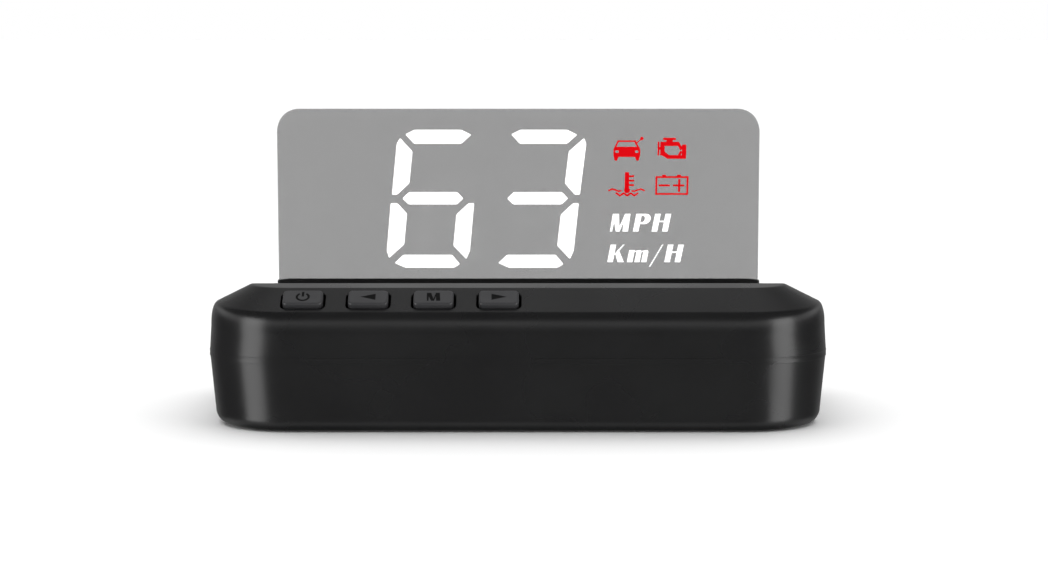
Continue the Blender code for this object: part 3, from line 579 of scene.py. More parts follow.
def loft(rings, lifted=False):
    """Closed solid through rings of (z, front, side, rear inset, share of the slope's drop)."""
    bm = bmesh.new()
    loops = []
    for z, front, side, rear, share in rings:
        outline = plan_outline(front, side, rear)
        loop = []
        for x, y in outline:
            lift = side_lift(z, y) if lifted else 0.0
            loop.append(bm.verts.new((x, y, z - share * drop(y) + lift)))
        loops.append(loop)
    bridge(bm, loops)
    bm.faces.new(reversed(loops[0]))
    cap = bm.faces.new(loops[-1])
    bmesh.utils.face_split(cap, loops[-1][CORNER_STEPS], loops[-1][3 * (CORNER_STEPS + 1)])
    bmesh.ops.triangulate(bm, faces=bm.faces)
    return bm


def even(z, inset, share=0.0):
    return (z, inset, inset, inset, share)


def outer_share(z):
    """Above the seam the case's height shrinks evenly towards the rear."""
    return (z - UPPER_BOTTOM_Z) / (TOP_Z - UPPER_BOTTOM_Z)


def rear_inset(inset):
    progress = (inset - WALL_INSET) / (TOP_INSET - WALL_INSET)
    return WALL_INSET + progress * (REAR_TOP_INSET - WALL_INSET)


def curve(start, bend, end, steps):
    """Points of a quadratic curve."""
    points = []
    for step in range(steps + 1):
        t = step / steps
        points.append(start * (1 - t) ** 2 + bend * 2 * t * (1 - t) + end * t**2)
    return points


def upper_case_rings():
    """Section as (side inset, z, rear inset): seam edge, wall, fillet, bevel and ridge edge."""
    along = Vector((math.cos(BEVEL_ANGLE), math.sin(BEVEL_ANGLE)))
    seam = [
        Vector((SEAM_EDGE * (1 - math.sin(turn)), UPPER_BOTTOM_Z + SEAM_EDGE * (1 - math.cos(turn))))
        for turn in (math.radians(22.5 * i) for i in range(5))
    ]
    bend = Vector((WALL_INSET, BEVEL_LOW_Z))
    fillet = curve(
        bend - Vector((0, FILLET_ON_WALL)), bend, bend + along * FILLET_ON_BEVEL, 12
    )
    rings = [(z, inset, inset, inset, outer_share(z)) for inset, z in seam]
    rings += [(z, inset, inset, rear_inset(inset), outer_share(z)) for inset, z in fillet]
    ridge = Vector((TOP_INSET, TOP_Z))
    start = ridge - along * TOP_EDGE
    edge = curve(start, ridge, ridge + Vector((TOP_EDGE, 0)), 6)
    rear = curve(
        Vector((rear_inset(start.x), 0)),
        Vector((REAR_TOP_INSET, 0)),
        Vector((REAR_TOP_INSET + TOP_EDGE, 0)),
        6,
    )
    rings += [(z, inset, inset, r.x, outer_share(z)) for (inset, z), r in zip(edge, rear)]
    return rings


def upper_cavity():
    """Rebate for the lip, upright wall, and a ceiling that follows the bevel and the slope."""
    step_z, wall_top, ceiling_z, ceiling_inset = LIP_TOP_Z + GAP, 19.5 * MM, 22.5 * MM, 6 * MM
    return loft(
        [
            even(UPPER_BOTTOM_Z - WALL, REBATE_INSET),
            even(step_z, REBATE_INSET),
            even(step_z, WALL),
            even(wall_top, WALL + WALL_INSET, 0.6),
            even(ceiling_z, ceiling_inset, 1.0),
        ]
    )


def display_recess():
    """Recess that runs out to the rear, the window's seat in it, and a shaft for the display."""
    front, beyond, above, below = 0.2 * MM, 60 * MM, 9 * MM, -12 * MM
    side, corner = 0.6 * MM, 1.3 * MM
    seat_z = -RECESS_DEPTH - WINDOW_THICKNESS - 0.2 * MM
    cutters = [
        slab(RECESS_HALF, front, beyond, -RECESS_DEPTH, above),
        slab(WINDOW_HALF + GAP, WINDOW_FRONT - GAP, WINDOW_REAR + GAP, seat_z, 0, corner),
        slab(STACK_HALF + side, STACK_FRONT - side, STACK_REAR + side, below, 0),
    ]
    return [("DIFFERENCE", placed(cutter, SLOPE_FRAME)) for cutter in cutters]


def hinge_ears():
    foot = 3.2 * MM
    outline = arc((HINGE.y, HINGE.z), (EAR_RADIUS, EAR_RADIUS), 0, 180, 24)
    outline += [(HINGE.y - EAR_RADIUS, HINGE.z - foot), (HINGE.y + EAR_RADIUS, HINGE.z - foot)]
    ends = (EAR_INNER - GAP, EAR_OUTER)
    return [("UNION", rail(outline, *ends)), ("UNION", rail(outline, -ends[1], -ends[0]))]


def hinge_trough():
    """Round trough under the barrel, with a step in front where the jaws come down."""
    axis = SLOPE_FRAME.inverted() @ HINGE
    y, z = axis.y, axis.z
    room = BAR_RADIUS + 0.35 * MM
    jaw_reach, jaw_floor, above = 4.4 * MM, -3.0 * MM, 9 * MM
    meet = math.degrees(math.asin((z - jaw_floor) / room))
    outline = [(y + room, above), *arc((y, z), (room, room), 0, meet - 180, 32)]
    outline += [(y - jaw_reach, jaw_floor), (y - jaw_reach, above)]
    trough = placed(rail(outline, -EAR_INNER, EAR_INNER), SLOPE_FRAME)
    centre = (0, HINGE.y, HINGE.z)
    hole = cylinder(PIN_RADIUS + 0.2 * MM, 2 * EAR_OUTER + 2 * MM, centre, "X")
    return [("DIFFERENCE", trough), ("DIFFERENCE", hole)]


def frustum(size, corner, low, high, flare):
    """Rounded block whose upper end is wider by flare on every side."""
    bm = box((size[0], size[1], high - low), (0, 0, (low + high) / 2), corner)
    for vert in bm.verts:
        if vert.co.z > (low + high) / 2:
            vert.co.x *= 1 + 2 * flare / size[0]
            vert.co.y *= 1 + 2 * flare / size[1]
    return bm


def key_openings():
    """A bay behind the bevel, and for each key a straight hole with a narrow chamfer."""
    bay_size, through = (52 * MM, 7.4 * MM, 9.4 * MM), 8 * MM
    clearance, corner, rim = 0.85 * MM, 1.2 * MM, 0.15 * MM
    centres = [key_frame(name) for name in KEY_NAMES]
    middle = sum((matrix.translation for matrix in centres), Vector()) / len(centres)
    bay = box(bay_size, (0, 0, -KEY_WALL - bay_size[2] / 2))
    steps = [("DIFFERENCE", placed(bay, turned_x(BEVEL_ANGLE, middle)))]
    size = (KEY_SIZE[0] + clearance, KEY_SIZE[1] + clearance)
    for matrix in centres:
        for cutter in (box((*size, through), corner=corner), frustum(size, corner, -rim, rim, rim)):
            steps.append(("DIFFERENCE", placed(cutter, matrix)))
    return steps


# Posts for the case screws and the board screws, as (x, y) in millimetres
CASE_POSTS = ((-51.2, -12), (51.2, -12), (-51.2, 17), (51.2, 17))
BOARD_POSTS = ((-42, -20), (42, -20), (-42, 24), (42, 24))


def upper_posts():
    """Solid posts that take the case screws."""
    bottom, front_top, radius = 15.4 * MM, 23.5 * MM, 3 * MM
    hole_radius, hole_length, hole_rise = 1.3 * MM, 4.4 * MM, 1 * MM
    steps = []
    for x, y in CASE_POSTS:
        top = front_top - drop(y * MM)
        centre = (x * MM, y * MM, (top + bottom) / 2)
        hole_centre = (x * MM, y * MM, bottom + hole_rise)
        steps.append(("UNION", cylinder(radius, top - bottom, centre)))
        steps.append(("DIFFERENCE", cylinder(hole_radius, hole_length, hole_centre)))
    return steps


def make_upper_case():
    cuts = [*upper_posts(), *display_recess(), *key_openings()]
    steps = [("DIFFERENCE", upper_cavity()), *unions_first(cuts), *hinge_ears(), *hinge_trough()]
    shell = carve(loft(upper_case_rings(), lifted=True), steps)
    piece("upper_case_shell", shell, "base", "case_plastic", "upper_case", sharp=28, weighted=True)


def lower_case_rings():
    """Rounded lower edge, wall that widens to the seam, and the lip inside the upper shell."""
    front_low, side_low, edge_inset, edge_z = 2.2 * MM, 3.2 * MM, 1.1 * MM, 2.75 * MM
    rings = []
    for step in range(9):
        turn = math.radians(90 * step / 8)
        z = edge_z - (edge_z - BASE_Z) * math.cos(turn)
        front = front_low - (front_low - edge_inset) * math.sin(turn)
        side = side_low - (side_low - edge_inset) * math.sin(turn)
        rings.append((z, front, side, front, 0.0))
    for step in range(5):
        turn = math.radians(22.5 * step)
        z = LOWER_TOP_Z - SEAM_EDGE * (1 - math.sin(turn))
        rings.append(even(z, SEAM_EDGE * (1 - math.cos(turn))))
    rings += [even(LOWER_TOP_Z, LIP_INSET), even(LIP_TOP_Z, LIP_INSET)]
    return rings


# Each cylinder of a lower post, as (operation, radius, length, height of its middle) in millimetres
CASE_POST_STEPS = (("UNION", 3.7, 13.7, 8.05), ("DIFFERENCE", 1.45, 40, 0))
BOARD_POST_STEPS = (("UNION", 2.6, 3.1, 3.35), ("DIFFERENCE", 1.1, 2.4, 4.0))


def lower_post(x, y, post_steps):
    return [
        (operation, cylinder(radius * MM, length * MM, (x * MM, y * MM, middle * MM)))
        for operation, radius, length, middle in post_steps
    ]


def lower_posts():
    """Tubes for the case screws, with room for their heads, and the posts of the main board."""
    mouth, bore, chamfer_top, depth, below = 3.1, 2.8, 0.9, 3.4, -1
    head = [(0, below), (mouth, below), (mouth, BASE_Z / MM)]
    head += [(bore, chamfer_top), (bore, depth), (0, depth)]
    steps = []
    for x, y in CASE_POSTS:
        counterbore = turned([(r * MM, z * MM) for r, z in head])
        bmesh.ops.translate(counterbore, vec=(x * MM, y * MM, 0), verts=counterbore.verts)
        steps += [*lower_post(x, y, CASE_POST_STEPS), ("DIFFERENCE", counterbore)]
    for x, y in BOARD_POSTS:
        steps += lower_post(x, y, BOARD_POST_STEPS)
    return steps


PORT_LOW, PORT_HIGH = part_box("usb_port_shell")
PORT = (PORT_LOW + PORT_HIGH) / 2
PORT_PAD_Y = PORT_HIGH.y + 0.6 * MM


def lying(bm, x, y, z):
    """Turns a solid built along Z so that its Z points to the rear, and places it."""
    return placed(bm, Matrix.Translation((x, y, z)) @ Matrix.Rotation(math.radians(-90), 4, "X"))


def rear_openings():
    """Pad with the port's chamfered mouth, and a row of vents with round ends."""
    pad_size, clearance, corner, rim = (17 * MM, 8.8 * MM, 3 * MM), 0.9 * MM, 0.7 * MM, 0.25 * MM
    vent_size, vent_corner = (1.5 * MM, 5.6 * MM, 10 * MM), 0.74 * MM
    vent_count, first_vent, vent_pitch = 7, 12, 3.8
    pad = box(pad_size, (0, 0, -pad_size[2] / 2), 0.8 * MM, 0.2 * MM, 3)
    mouth = (PORT_HIGH.x - PORT_LOW.x + clearance, PORT_HIGH.z - PORT_LOW.z + clearance)
    cutters = (box((*mouth, 8 * MM), corner=corner), frustum(mouth, corner, -rim, rim, rim))
    steps = [("UNION", lying(pad, PORT.x, PORT_PAD_Y, PORT.z))]
    steps += [("DIFFERENCE", lying(cutter, PORT.x, PORT_PAD_Y, PORT.z)) for cutter in cutters]
    for i in range(vent_count):
        vent_x = (first_vent + vent_pitch * i) * MM
        steps.append(("DIFFERENCE", lying(box(vent_size, corner=vent_corner), vent_x, HALF_Y, PORT.z)))
    return steps


def underside_pocket(node, height, corner):
    """Cutter for the pocket in the underside that holds a node with a gap round it."""
    low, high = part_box(node)
    size = (high.x - low.x + 2 * GAP, high.y - low.y + 2 * GAP, height)
    return box(size, (0, (low.y + high.y) / 2, 0), corner)


def make_lower_case():
    floor_z, floor_inset, inset = 2.6 * MM, 3.3 * MM, LIP_INSET + 0.8 * MM
    cavity = loft([even(floor_z, floor_inset), even(LOWER_TOP_Z, inset), even(LIP_TOP_Z + WALL, inset)])
    pockets = [
        ("DIFFERENCE", underside_pocket("grip_pad", 2.5 * MM, 4.3 * MM)),
        ("DIFFERENCE", underside_pocket("rating_label", 2.1 * MM, 1.3 * MM)),
    ]
    cuts = unions_first([*lower_posts(), *rear_openings(), *pockets])
    steps = [("DIFFERENCE", cavity), *cuts]
    shell = carve(loft(lower_case_rings()), steps)
    piece("lower_case_shell", shell, "base", "case_plastic", "lower_case", sharp=28, weighted=True)


def make_grip_pad():
    """Rubber pad whose underside has rounded ribs along its length."""
    low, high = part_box("grip_pad")
    middle = (low.y + high.y) / 2
    rib_pitch, groove, beyond, corner = 1.5 * MM, 0.3 * MM, 1 * MM, 4 * MM
    count = int((high.y - low.y) / rib_pitch)
    outline = [(high.y + beyond, high.z + beyond), (low.y - beyond, high.z + beyond)]
    for i in range(count):
        centre = middle + (i - (count - 1) / 2) * rib_pitch
        outline += arc((centre, low.z + groove), (rib_pitch * 0.4, groove), 180, 360, 8)
    ribs = rail(outline, low.x - beyond, high.x + beyond)
    block = box(high - low, (0, middle, (low.z + high.z) / 2), corner)
    piece("ribbed_grip_pad", carve(block, [("INTERSECT", ribs)]), "base", "silicone_rubber", "grip_pad")


# ---------------------------------------------------------------- reflector


def plate_outline(inset, steps=12):
    """Outline in (x, height up the plate), narrowing upwards, with rounded top corners."""
    x = PLATE_HALF_TOP - PLATE_CORNER
    y = PLATE_TOP - PLATE_CORNER
    radius = PLATE_CORNER - inset
    right = arc((x, y), (radius, radius), 0, 90, steps)
    left = [(-px, py) for px, py in reversed(right)]
    low = PLATE_LOW + inset
    return [(-PLATE_HALF_LOW + inset, low), (PLATE_HALF_LOW - inset, low), *right, *left]


def make_reflector_plate():
    """Sheet with a fine polished chamfer round both faces."""
    chamfer = 0.25 * MM
    bm = bmesh.new()
    loops = []
    for inset, z in ((chamfer, -1), (0, -1 + chamfer / MM), (0, 1 - chamfer / MM), (chamfer, 1)):
        outline = plate_outline(inset)
        loops.append([bm.verts.new((x, y, z * PLATE_HALF_DEPTH)) for x, y in outline])
    bridge(bm, loops)
    bm.faces.new(loops[0])
    bm.faces.new(loops[-1])
    sheet = placed(bm, PICTURE_FRAME)
    sheet = piece("reflector_sheet", sheet, "reflector", "reflector_acrylic", "reflector_plate")
    sheet.visible_glossy = False


def make_hinge_bar():
    """Round barrel with two jaws that hold the plate. The ends of the jaws slant inwards."""
    shoulder = math.degrees(math.acos(JAW_HALF / BAR_RADIUS))
    jaws = [
        (JAW_HALF, JAW_TOP - JAW_CHAMFER),
        (JAW_HALF - JAW_CHAMFER, JAW_TOP),
        (-JAW_HALF + JAW_CHAMFER, JAW_TOP),
        (-JAW_HALF, JAW_TOP - JAW_CHAMFER),
    ]
    outline = jaws + arc((0, 0), (BAR_RADIUS, BAR_RADIUS), 180 - shoulder, 360 + shoulder, 32)
    bm = rail(outline, -BAR_HALF, BAR_HALF)
    for cap in [face for face in bm.faces if len(face.verts) > 4]:
        level = JAW_TOP - JAW_CHAMFER
        shoulders = [v for v in cap.verts if abs(v.co.z - level) < 0.01 * MM]
        bmesh.utils.face_split(cap, *shoulders)
    for vert in bm.verts:
        if vert.co.z > JAW_TOP - JAW_CHAMFER / 2:
            vert.co.x -= math.copysign(JAW_END_CUT, vert.co.x)
    slot_half, slot_low, beyond, above = PLATE_HALF_DEPTH + 0.15 * MM, PLATE_LOW - 0.2 * MM, 2 * MM, 8 * MM
    steps = [("DIFFERENCE", slab(BAR_HALF + beyond, -slot_half, slot_half, slot_low, above))]
    hole_radius, hole_length = PIN_RADIUS + 0.1 * MM, 4.6 * MM
    for side in (-1, 1):
        steps.append(("DIFFERENCE", cylinder(hole_radius, hole_length, (side * BAR_HALF, 0, 0), "X")))
    bar = placed(carve(bm, steps), REFLECTOR_FRAME)
    piece("hinge_barrel", bar, "reflector", "hinge_plastic", "hinge_bar", weighted=True)


def make_hinge_pins():
    """Steel pins with chamfered ends."""
    chamfer = 0.2 * MM
    for side, name in ((-1, "left"), (1, "right")):
        low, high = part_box(f"hinge_pin_{name}")
        half = (high.x - low.x) / 2
        profile = [(0, -half), (PIN_RADIUS - chamfer, -half), (PIN_RADIUS, -half + chamfer)]
        profile += [(r, -z) for r, z in reversed(profile)]
        bm = turned(profile)
        bm.transform(Matrix.Rotation(math.radians(90), 4, "Y"))
        bmesh.ops.translate(bm, vec=((low.x + high.x) / 2, HINGE.y, HINGE.z), verts=bm.verts)
        piece(f"chamfered_pin_{name}", bm, "reflector", "bright_steel", f"hinge_pin_{name}")


# ---------------------------------------------------------------- flat graphics


def stencil(polygons, low, high):
    """Flat solid over polygons in millimetres, which may overlap."""
    points, faces = [], []
    for polygon in polygons:
        area = sum(a[0] * b[1] - a[1] * b[0] for a, b in zip(polygon, polygon[1:] + polygon[:1]))
        ordered = polygon if area > 0 else polygon[::-1]
        faces.append(list(range(len(points), len(points) + len(ordered))))
        points += [Vector(point) for point in ordered]
    points, _, triangles, _, _, owners = geometry.delaunay_2d_cdt(points, [], faces, 1, 1e-4)
    bm = bmesh.new()
    verts = [bm.verts.new((p.x * MM, p.y * MM, low)) for p in points]
    for triangle, covering in zip(triangles, owners):
        if covering:
            bm.faces.new([verts[i] for i in triangle])
    bmesh.ops.delete(bm, geom=[v for v in bm.verts if not v.link_faces], context="VERTS")
    raised = bmesh.ops.extrude_face_region(bm, geom=list(bm.faces))["geom"]
    moved = [item for item in raised if isinstance(item, bmesh.types.BMVert)]
    bmesh.ops.translate(bm, vec=(0, 0, high - low), verts=moved)
    return bm


def rectangle(left, right, bottom, top):
    return [(left, bottom), (right, bottom), (right, top), (left, top)]


def stroke(points, width):
    """One slab along each leg of a path, longer by half its width at both ends."""
    slabs = []
    for start, end in zip(points, points[1:]):
        a, b = Vector(start), Vector(end)
        along = (b - a).normalized() * width / 2
        across = Vector((-along.y, along.x))
        a, b = a - along, b + along
        slabs.append([tuple(p) for p in (a - across, b - across, b + across, a + across)])
    return slabs


def softened(points, radius, steps=3):
    """Polygon whose corners are short curves."""
    result = []
    for i, point in enumerate(points):
        here = Vector(point)
        before, after = Vector(points[i - 1]), Vector(points[(i + 1) % len(points)])
        start = here + (before - here).normalized() * radius
        end = here + (after - here).normalized() * radius
        result += [tuple(p) for p in curve(start, here, end, steps)]
    return result


# Seven segments of an upright digit
UPPER_LEFT = [(0, 16.7), (1.1, 16.7), (3.45, 19.3), (3.45, 26.4), (0.6, 29.4), (0, 28.1)]
SEGMENTS = {
    "top": [(1.6, 30.2), (3.4, 31.2), (13.1, 31.2), (15.3, 30.1), (13.4, 28.1), (3.6, 28.1)],
    "upper_left": UPPER_LEFT,
    "upper_right": [(DIGIT_WIDTH - x, y) for x, y in UPPER_LEFT],
    "middle": [(2.25, 15.85), (3.5, 17.3), (13.6, 17.3), (15.05, 15.85), (13.8, 14.5), (3.7, 14.5)],
    "lower_left": [(-0.1, 14.8), (1.3, 14.8), (3.55, 12.45), (3.6, 5.4), (0.65, 2.25), (0, 3.9)],
    "lower_right": [(13.9, 12.2), (16.2, 14.8), (17.4, 14.8), (17.6, 3.9), (17, 2), (13.95, 5.1)],
    "bottom": [(1.9, 1.1), (3.6, 3), (13.9, 3), (15.8, 0.85), (14.6, 0), (4.3, 0)],
}
LEFT_SEGMENTS = ("upper_left", "lower_left")


def digit(place, names):
    """Slanted segments of the digit at a place, 0 being the tens."""
    polygons = []
    for name in names:
        slanted = [
            (DIGIT_LEFT + DIGIT_PITCH * place + x + DIGIT_SLANT * y, READING_BASE + y)
            for x, y in SEGMENTS[name]
        ]
        polygons.append(softened(slanted, 0.3))
    return polygons


def lit_digits():
    """The reading 63."""
    six = [name for name in SEGMENTS if name != "upper_right"]
    three = [name for name in SEGMENTS if name not in LEFT_SEGMENTS]
    return digit(0, six) + digit(1, three)


def unlit_segments():
    hundreds = digit(-1, ("upper_right", "lower_right"))
    return hundreds + digit(0, ["upper_right"]) + digit(1, LEFT_SEGMENTS)


THICK_STEM = rectangle(0, 0.33, 0, 1)


def arch(x):
    """Second or third stem of a small m, with the thin arch that joins it to the one before."""
    shoulder = arc((x + 0.18, 0.56), (0.13, 0.13), 0, 90, 4)
    return [(x, 0), (x + 0.31, 0), *shoulder, (x - 0.14, 0.64), (x - 0.14, 0.57), (x, 0.61)]


# Bold sans letters with thick and thin strokes, as polygons in a cell of cap height 1, and advance
LETTERS = {
    "M": (
        [
            [(0.03, 0), (0.16, 0), (0.17, 0.7), (0.1, 1), (0, 1)],
            [(0, 1), (0.36, 1), (0.6, 0), (0.37, 0)],
            [(0.5, 0.15), (0.6, 0), (0.8, 0.85), (0.72, 1)],
            [(0.76, 0), (1.09, 0), (1.03, 1), (0.7, 1)],
        ],
        1.371,
    ),
    "P": (
        [
            THICK_STEM,
            [(0.3, 1), *arc((0.56, 0.71), (0.34, 0.29), 90, -90, 12), (0.3, 0.42), (0.3, 0.53)]
            + [*arc((0.42, 0.71), (0.14, 0.18), -90, 90, 8), (0.3, 0.89)],
        ],
        1.094,
    ),
    "H": (
        [THICK_STEM, rectangle(0.61, 0.94, 0, 1), rectangle(0.3, 0.64, 0.53, 0.61)],
        1.2,
    ),
    "K": (
        [
            THICK_STEM,
            [(0.3, 0.4), (0.45, 0.48), (0.82, 1), (0.72, 1)],
            [(0.36, 0.5), (0.52, 0.74), (0.98, 0), (0.61, 0)],
        ],
        1.153,
    ),
    "m": ([rectangle(0, 0.33, 0, 0.69), arch(0.44), arch(0.84)], 1.357),
    "/": ([[(0, -0.26), (0.08, -0.26), (0.58, 1), (0.5, 1)]], 0.843),
}


def word(text, x, base):
    """Slanted letters of a unit sign."""
    polygons = []
    for character in text:
        shapes, advance = LETTERS[character]
        for shape in shapes:
            polygons.append(
                [
                    (x + LETTER_WIDTH * u + LETTER_SLANT * LETTER_HEIGHT * v, base + LETTER_HEIGHT * v)
                    for u, v in shape
                ]
            )
        x += LETTER_WIDTH * advance
    return polygons


def unit_signs():
    return word("MPH", 19.15, 14.67) + word("Km/H", 18.79, 7.63)


def disc(x, y, radius):
    return arc((x, y), (radius, radius), 0, 337.5, 15)


def car_sign():
    """Car from the front, with two clear lamps and a small key above it."""
    cabin = [(20.1, 33.6), (20.7, 35.0), (24.2, 35.0), (24.9, 33.6)]
    wheel = [(19.8, 32), (19.95, 30.85), (20.25, 30.65), (20.55, 30.75), (20.85, 31.6)]
    right_wheel = [(45.05 - x, y) for x, y in wheel]
    return [
        *stroke(cabin, 0.32),
        softened(rectangle(19.85, 25.2, 32.95, 33.75), 0.3),
        softened(rectangle(19.75, 25.3, 31.5, 32.4), 0.3),
        rectangle(20.8, 24.25, 31.6, 33.6),
        rectangle(19.75, 20.15, 31.9, 33.3),
        rectangle(24.9, 25.3, 31.9, 33.3),
        wheel,
        right_wheel,
        *stroke([(24.3, 34.4), (25.3, 35.3)], 0.2),
        disc(25.6, 35.6, 0.36),
    ]


def engine_sign():
    """Engine block in outline, with its filler cap, fan and exhaust side."""
    return [
        rectangle(28.9, 29.25, 31.85, 34.9),
        rectangle(29.2, 29.5, 33.1, 33.7),
        rectangle(29.45, 30.35, 31.85, 34.85),
        rectangle(29.45, 33.35, 33.95, 34.85),
        softened(rectangle(30, 32.65, 35.25, 35.75), 0.15),
        rectangle(30.7, 32, 34.8, 35.4),
        *stroke([(33.2, 34.4), (33.75, 33.4), (34.3, 33.8)], 0.6),
        softened(rectangle(33.95, 34.85, 31.1, 34.25), 0.2),
        *stroke([(34.2, 32.6), (33.7, 32.5), (33.3, 31.7)], 0.5),
        rectangle(31, 34.2, 31.1, 31.9),
        [(29.7, 31.9), (30.35, 32.7), (31.3, 31.9), (31, 31.1)],
    ]


def coolant_sign():
    """Thermometer over two rows of waves."""
    waves = [(20.5 + 0.2 * i, 23.1 + 0.22 * math.cos(0.2 * i * math.tau / 1.5)) for i in range(23)]
    left = [(18.95, 24.0), (19.6, 24.3), (20.3, 24.1), (20.9, 23.8), (21.4, 23.9)]
    right = [(45.2 - x, y) for x, y in left]
    ticks = [rectangle(23.0, 24.15, s - 0.2, s + 0.2) for s in (27.2, 26.2, 25.2)]
    return [
        softened(rectangle(22.2, 23.1, 23.7, 28.1), 0.25),
        disc(22.7, 24.0, 0.62),
        *ticks,
        *stroke(left, 0.32),
        *stroke(right, 0.32),
        *stroke(waves, 0.36),
    ]


def battery_sign():
    corners = [(28.8, 23.2), (35.3, 23.2), (35.3, 27.0), (28.8, 27.0), (28.8, 23.2)]
    return [
        *stroke(corners, 0.38),
        rectangle(30, 30.8, 27.1, 27.5),
        rectangle(33.1, 33.9, 27.1, 27.5),
        rectangle(29.3, 31.65, 24.93, 25.32),
        rectangle(32.3, 34.65, 24.93, 25.32),
        rectangle(33.35, 33.8, 23.7, 26.55),
    ]


def warning_signs():
    return car_sign() + engine_sign() + coolant_sign() + battery_sign()


def on_reflector(polygons):
    """The graphics at the size they have on the reflector."""
    return [
        [(x * READING_SCALE, y * READING_SCALE + READING_RISE) for x, y in polygon]
        for polygon in polygons
    ]


def on_display(polygons):
    """The same graphics flipped and reduced to the display under the window."""
    middle = (STACK_FRONT + STACK_REAR) / 2 / MM
    return [
        [(x * DISPLAY_SCALE, middle - (y - READING_MIDDLE) * DISPLAY_SCALE) for x, y in polygon]
        for polygon in polygons
    ]


def make_graphics():
    """Reading painted on the reflector as glowing graphics, which stand for the display's reflection in
    the half-mirror, and its source on the film under the window.
    """
    low, high = PLATE_HALF_DEPTH - 0.02 * MM, PLATE_HALF_DEPTH + 0.05 * MM
    film_low, film_high = MASK_TOP - 0.02 * MM, MASK_TOP + 0.03 * MM
    groups = (
        ("digits", lit_digits(), "lit_white"),
        ("unit_signs", unit_signs(), "lit_white"),
        ("warning_signs", warning_signs(), "lit_red"),
    )
    for name, polygons, slot in groups:
        # Painted reflection: glowing stencils on the reflector's face stand for the display light that the
        # half-mirror reflects.
        image = placed(stencil(on_reflector(polygons), low, high), PICTURE_FRAME)
        image = piece(f"painted_reflection_{name}", image, "reflector", slot)
        image.visible_glossy = False
        source = placed(stencil(on_display(polygons), film_low, film_high), SLOPE_FRAME)
        piece(f"display_{name}", source, "base", slot)
    unlit = stencil(on_display(unlit_segments()), film_low, film_high)
    piece("unlit_segments", placed(unlit, SLOPE_FRAME), "base", "printed_film", look=UNLIT_FILM)


def make_display():
    """Polished window over a black film."""
    top = -RECESS_DEPTH
    window = slab(
        WINDOW_HALF, WINDOW_FRONT, WINDOW_REAR, top - WINDOW_THICKNESS, top, 1 * MM, 0.2 * MM
    )
    piece("polished_window", placed(window, SLOPE_FRAME), "base", "window_acrylic", "display_window")
    film = slab(STACK_HALF, STACK_FRONT, STACK_REAR, MASK_TOP - 0.3 * MM, MASK_TOP, 0.5 * MM, 0.05 * MM)
    piece("display_film", placed(film, SLOPE_FRAME), "base", "printed_film", "display_mask")


# ---------------------------------------------------------------- keys


def power_sign():
    """Open ring with a bar through its gap."""
    outer = arc((0, 0), (1.35, 1.35), 122, 418, 24)
    inner = arc((0, 0), (0.9, 0.9), 418, 122, 24)
    return [outer + inner, rectangle(-0.23, 0.23, 0.1, 1.5)]


def arrow_sign(side):
    return [[(side * 1.5, 0), (-side * 1.4, 0.95), (-side * 1.4, -0.95)]]


def mode_sign():
    width, height = 2.4, 2.5
    return [[((u - 0.54) * width, (v - 0.5) * height) for u, v in shape] for shape in LETTERS["M"][0]]


def make_key(name, sign):
    matrix = key_frame(name)
    bottom = -KEY_WALL - 0.4 * MM
    size, centre = (*KEY_SIZE, KEY_HEIGHT - bottom), (0, 0, (KEY_HEIGHT + bottom) / 2)
    cap = box(size, centre, 0.9 * MM, 0.4 * MM, 6)
    flange_centre = (0, 0, -KEY_WALL - 0.2 * MM - KEY_FLANGE[2] / 2)
    pocket = stencil(sign, KEY_HEIGHT - SIGN_DEPTH, KEY_HEIGHT + 0.3 * MM)
    steps = [("UNION", box(KEY_FLANGE, flange_centre, 0.5 * MM)), ("DIFFERENCE", pocket)]
    body = f"{name}_key"
    key = placed(carve(cap, steps), matrix)
    piece(f"{name}_key_cap", key, body, "key_plastic", f"{name}_button", sharp=28, weighted=True)
    inlay = stencil(sign, KEY_HEIGHT - SIGN_DEPTH - 0.05 * MM, KEY_HEIGHT - 0.04 * MM)
    piece(f"{name}_key_sign", placed(inlay, matrix), body, "key_plastic", look=SIGN_ENAMEL)


def make_keys():
    signs = {"power": power_sign(), "left": arrow_sign(-1), "mode": mode_sign(), "right": arrow_sign(1)}
    for name, sign in signs.items():
        make_key(name, sign)


# ---------------------------------------------------------------- fasteners and port


def screw_solid(head_radius, head_height, shank_radius, shank_length):
    """Pan-head screw with its head up from z = 0, a cross recess, and thread ridges below."""
    profile = [(0, head_height), (head_radius * 0.45, head_height)]
    for turn in (math.radians(75), math.radians(50), math.radians(25), 0):
        radius = head_radius - 0.45 * head_height * (1 - math.cos(turn))
        profile.append((radius, head_height * (0.35 + 0.6 * math.sin(turn))))
    profile += [(head_radius, 0), (shank_radius, 0)]
    pitch = 0.7 * MM
    ridges = int((shank_length - 1.4 * MM) / pitch)
    for i in range(ridges):
        z = -0.5 * MM - i * pitch
        profile += [(shank_radius * 0.8, z), (shank_radius, z - pitch / 2)]
    profile += [(shank_radius * 0.8, -shank_length + 0.7 * MM), (shank_radius * 0.25, -shank_length)]
    profile.append((0, -shank_length))
    length, width, depth = head_radius * 1.25, head_radius * 0.28, head_height * 1.2
    top = (0, 0, head_height)
    arms = [box(size, top) for size in ((length, width, depth), (width, length, depth))]
    return carve(turned(profile, 28), [("DIFFERENCE", arm) for arm in arms])


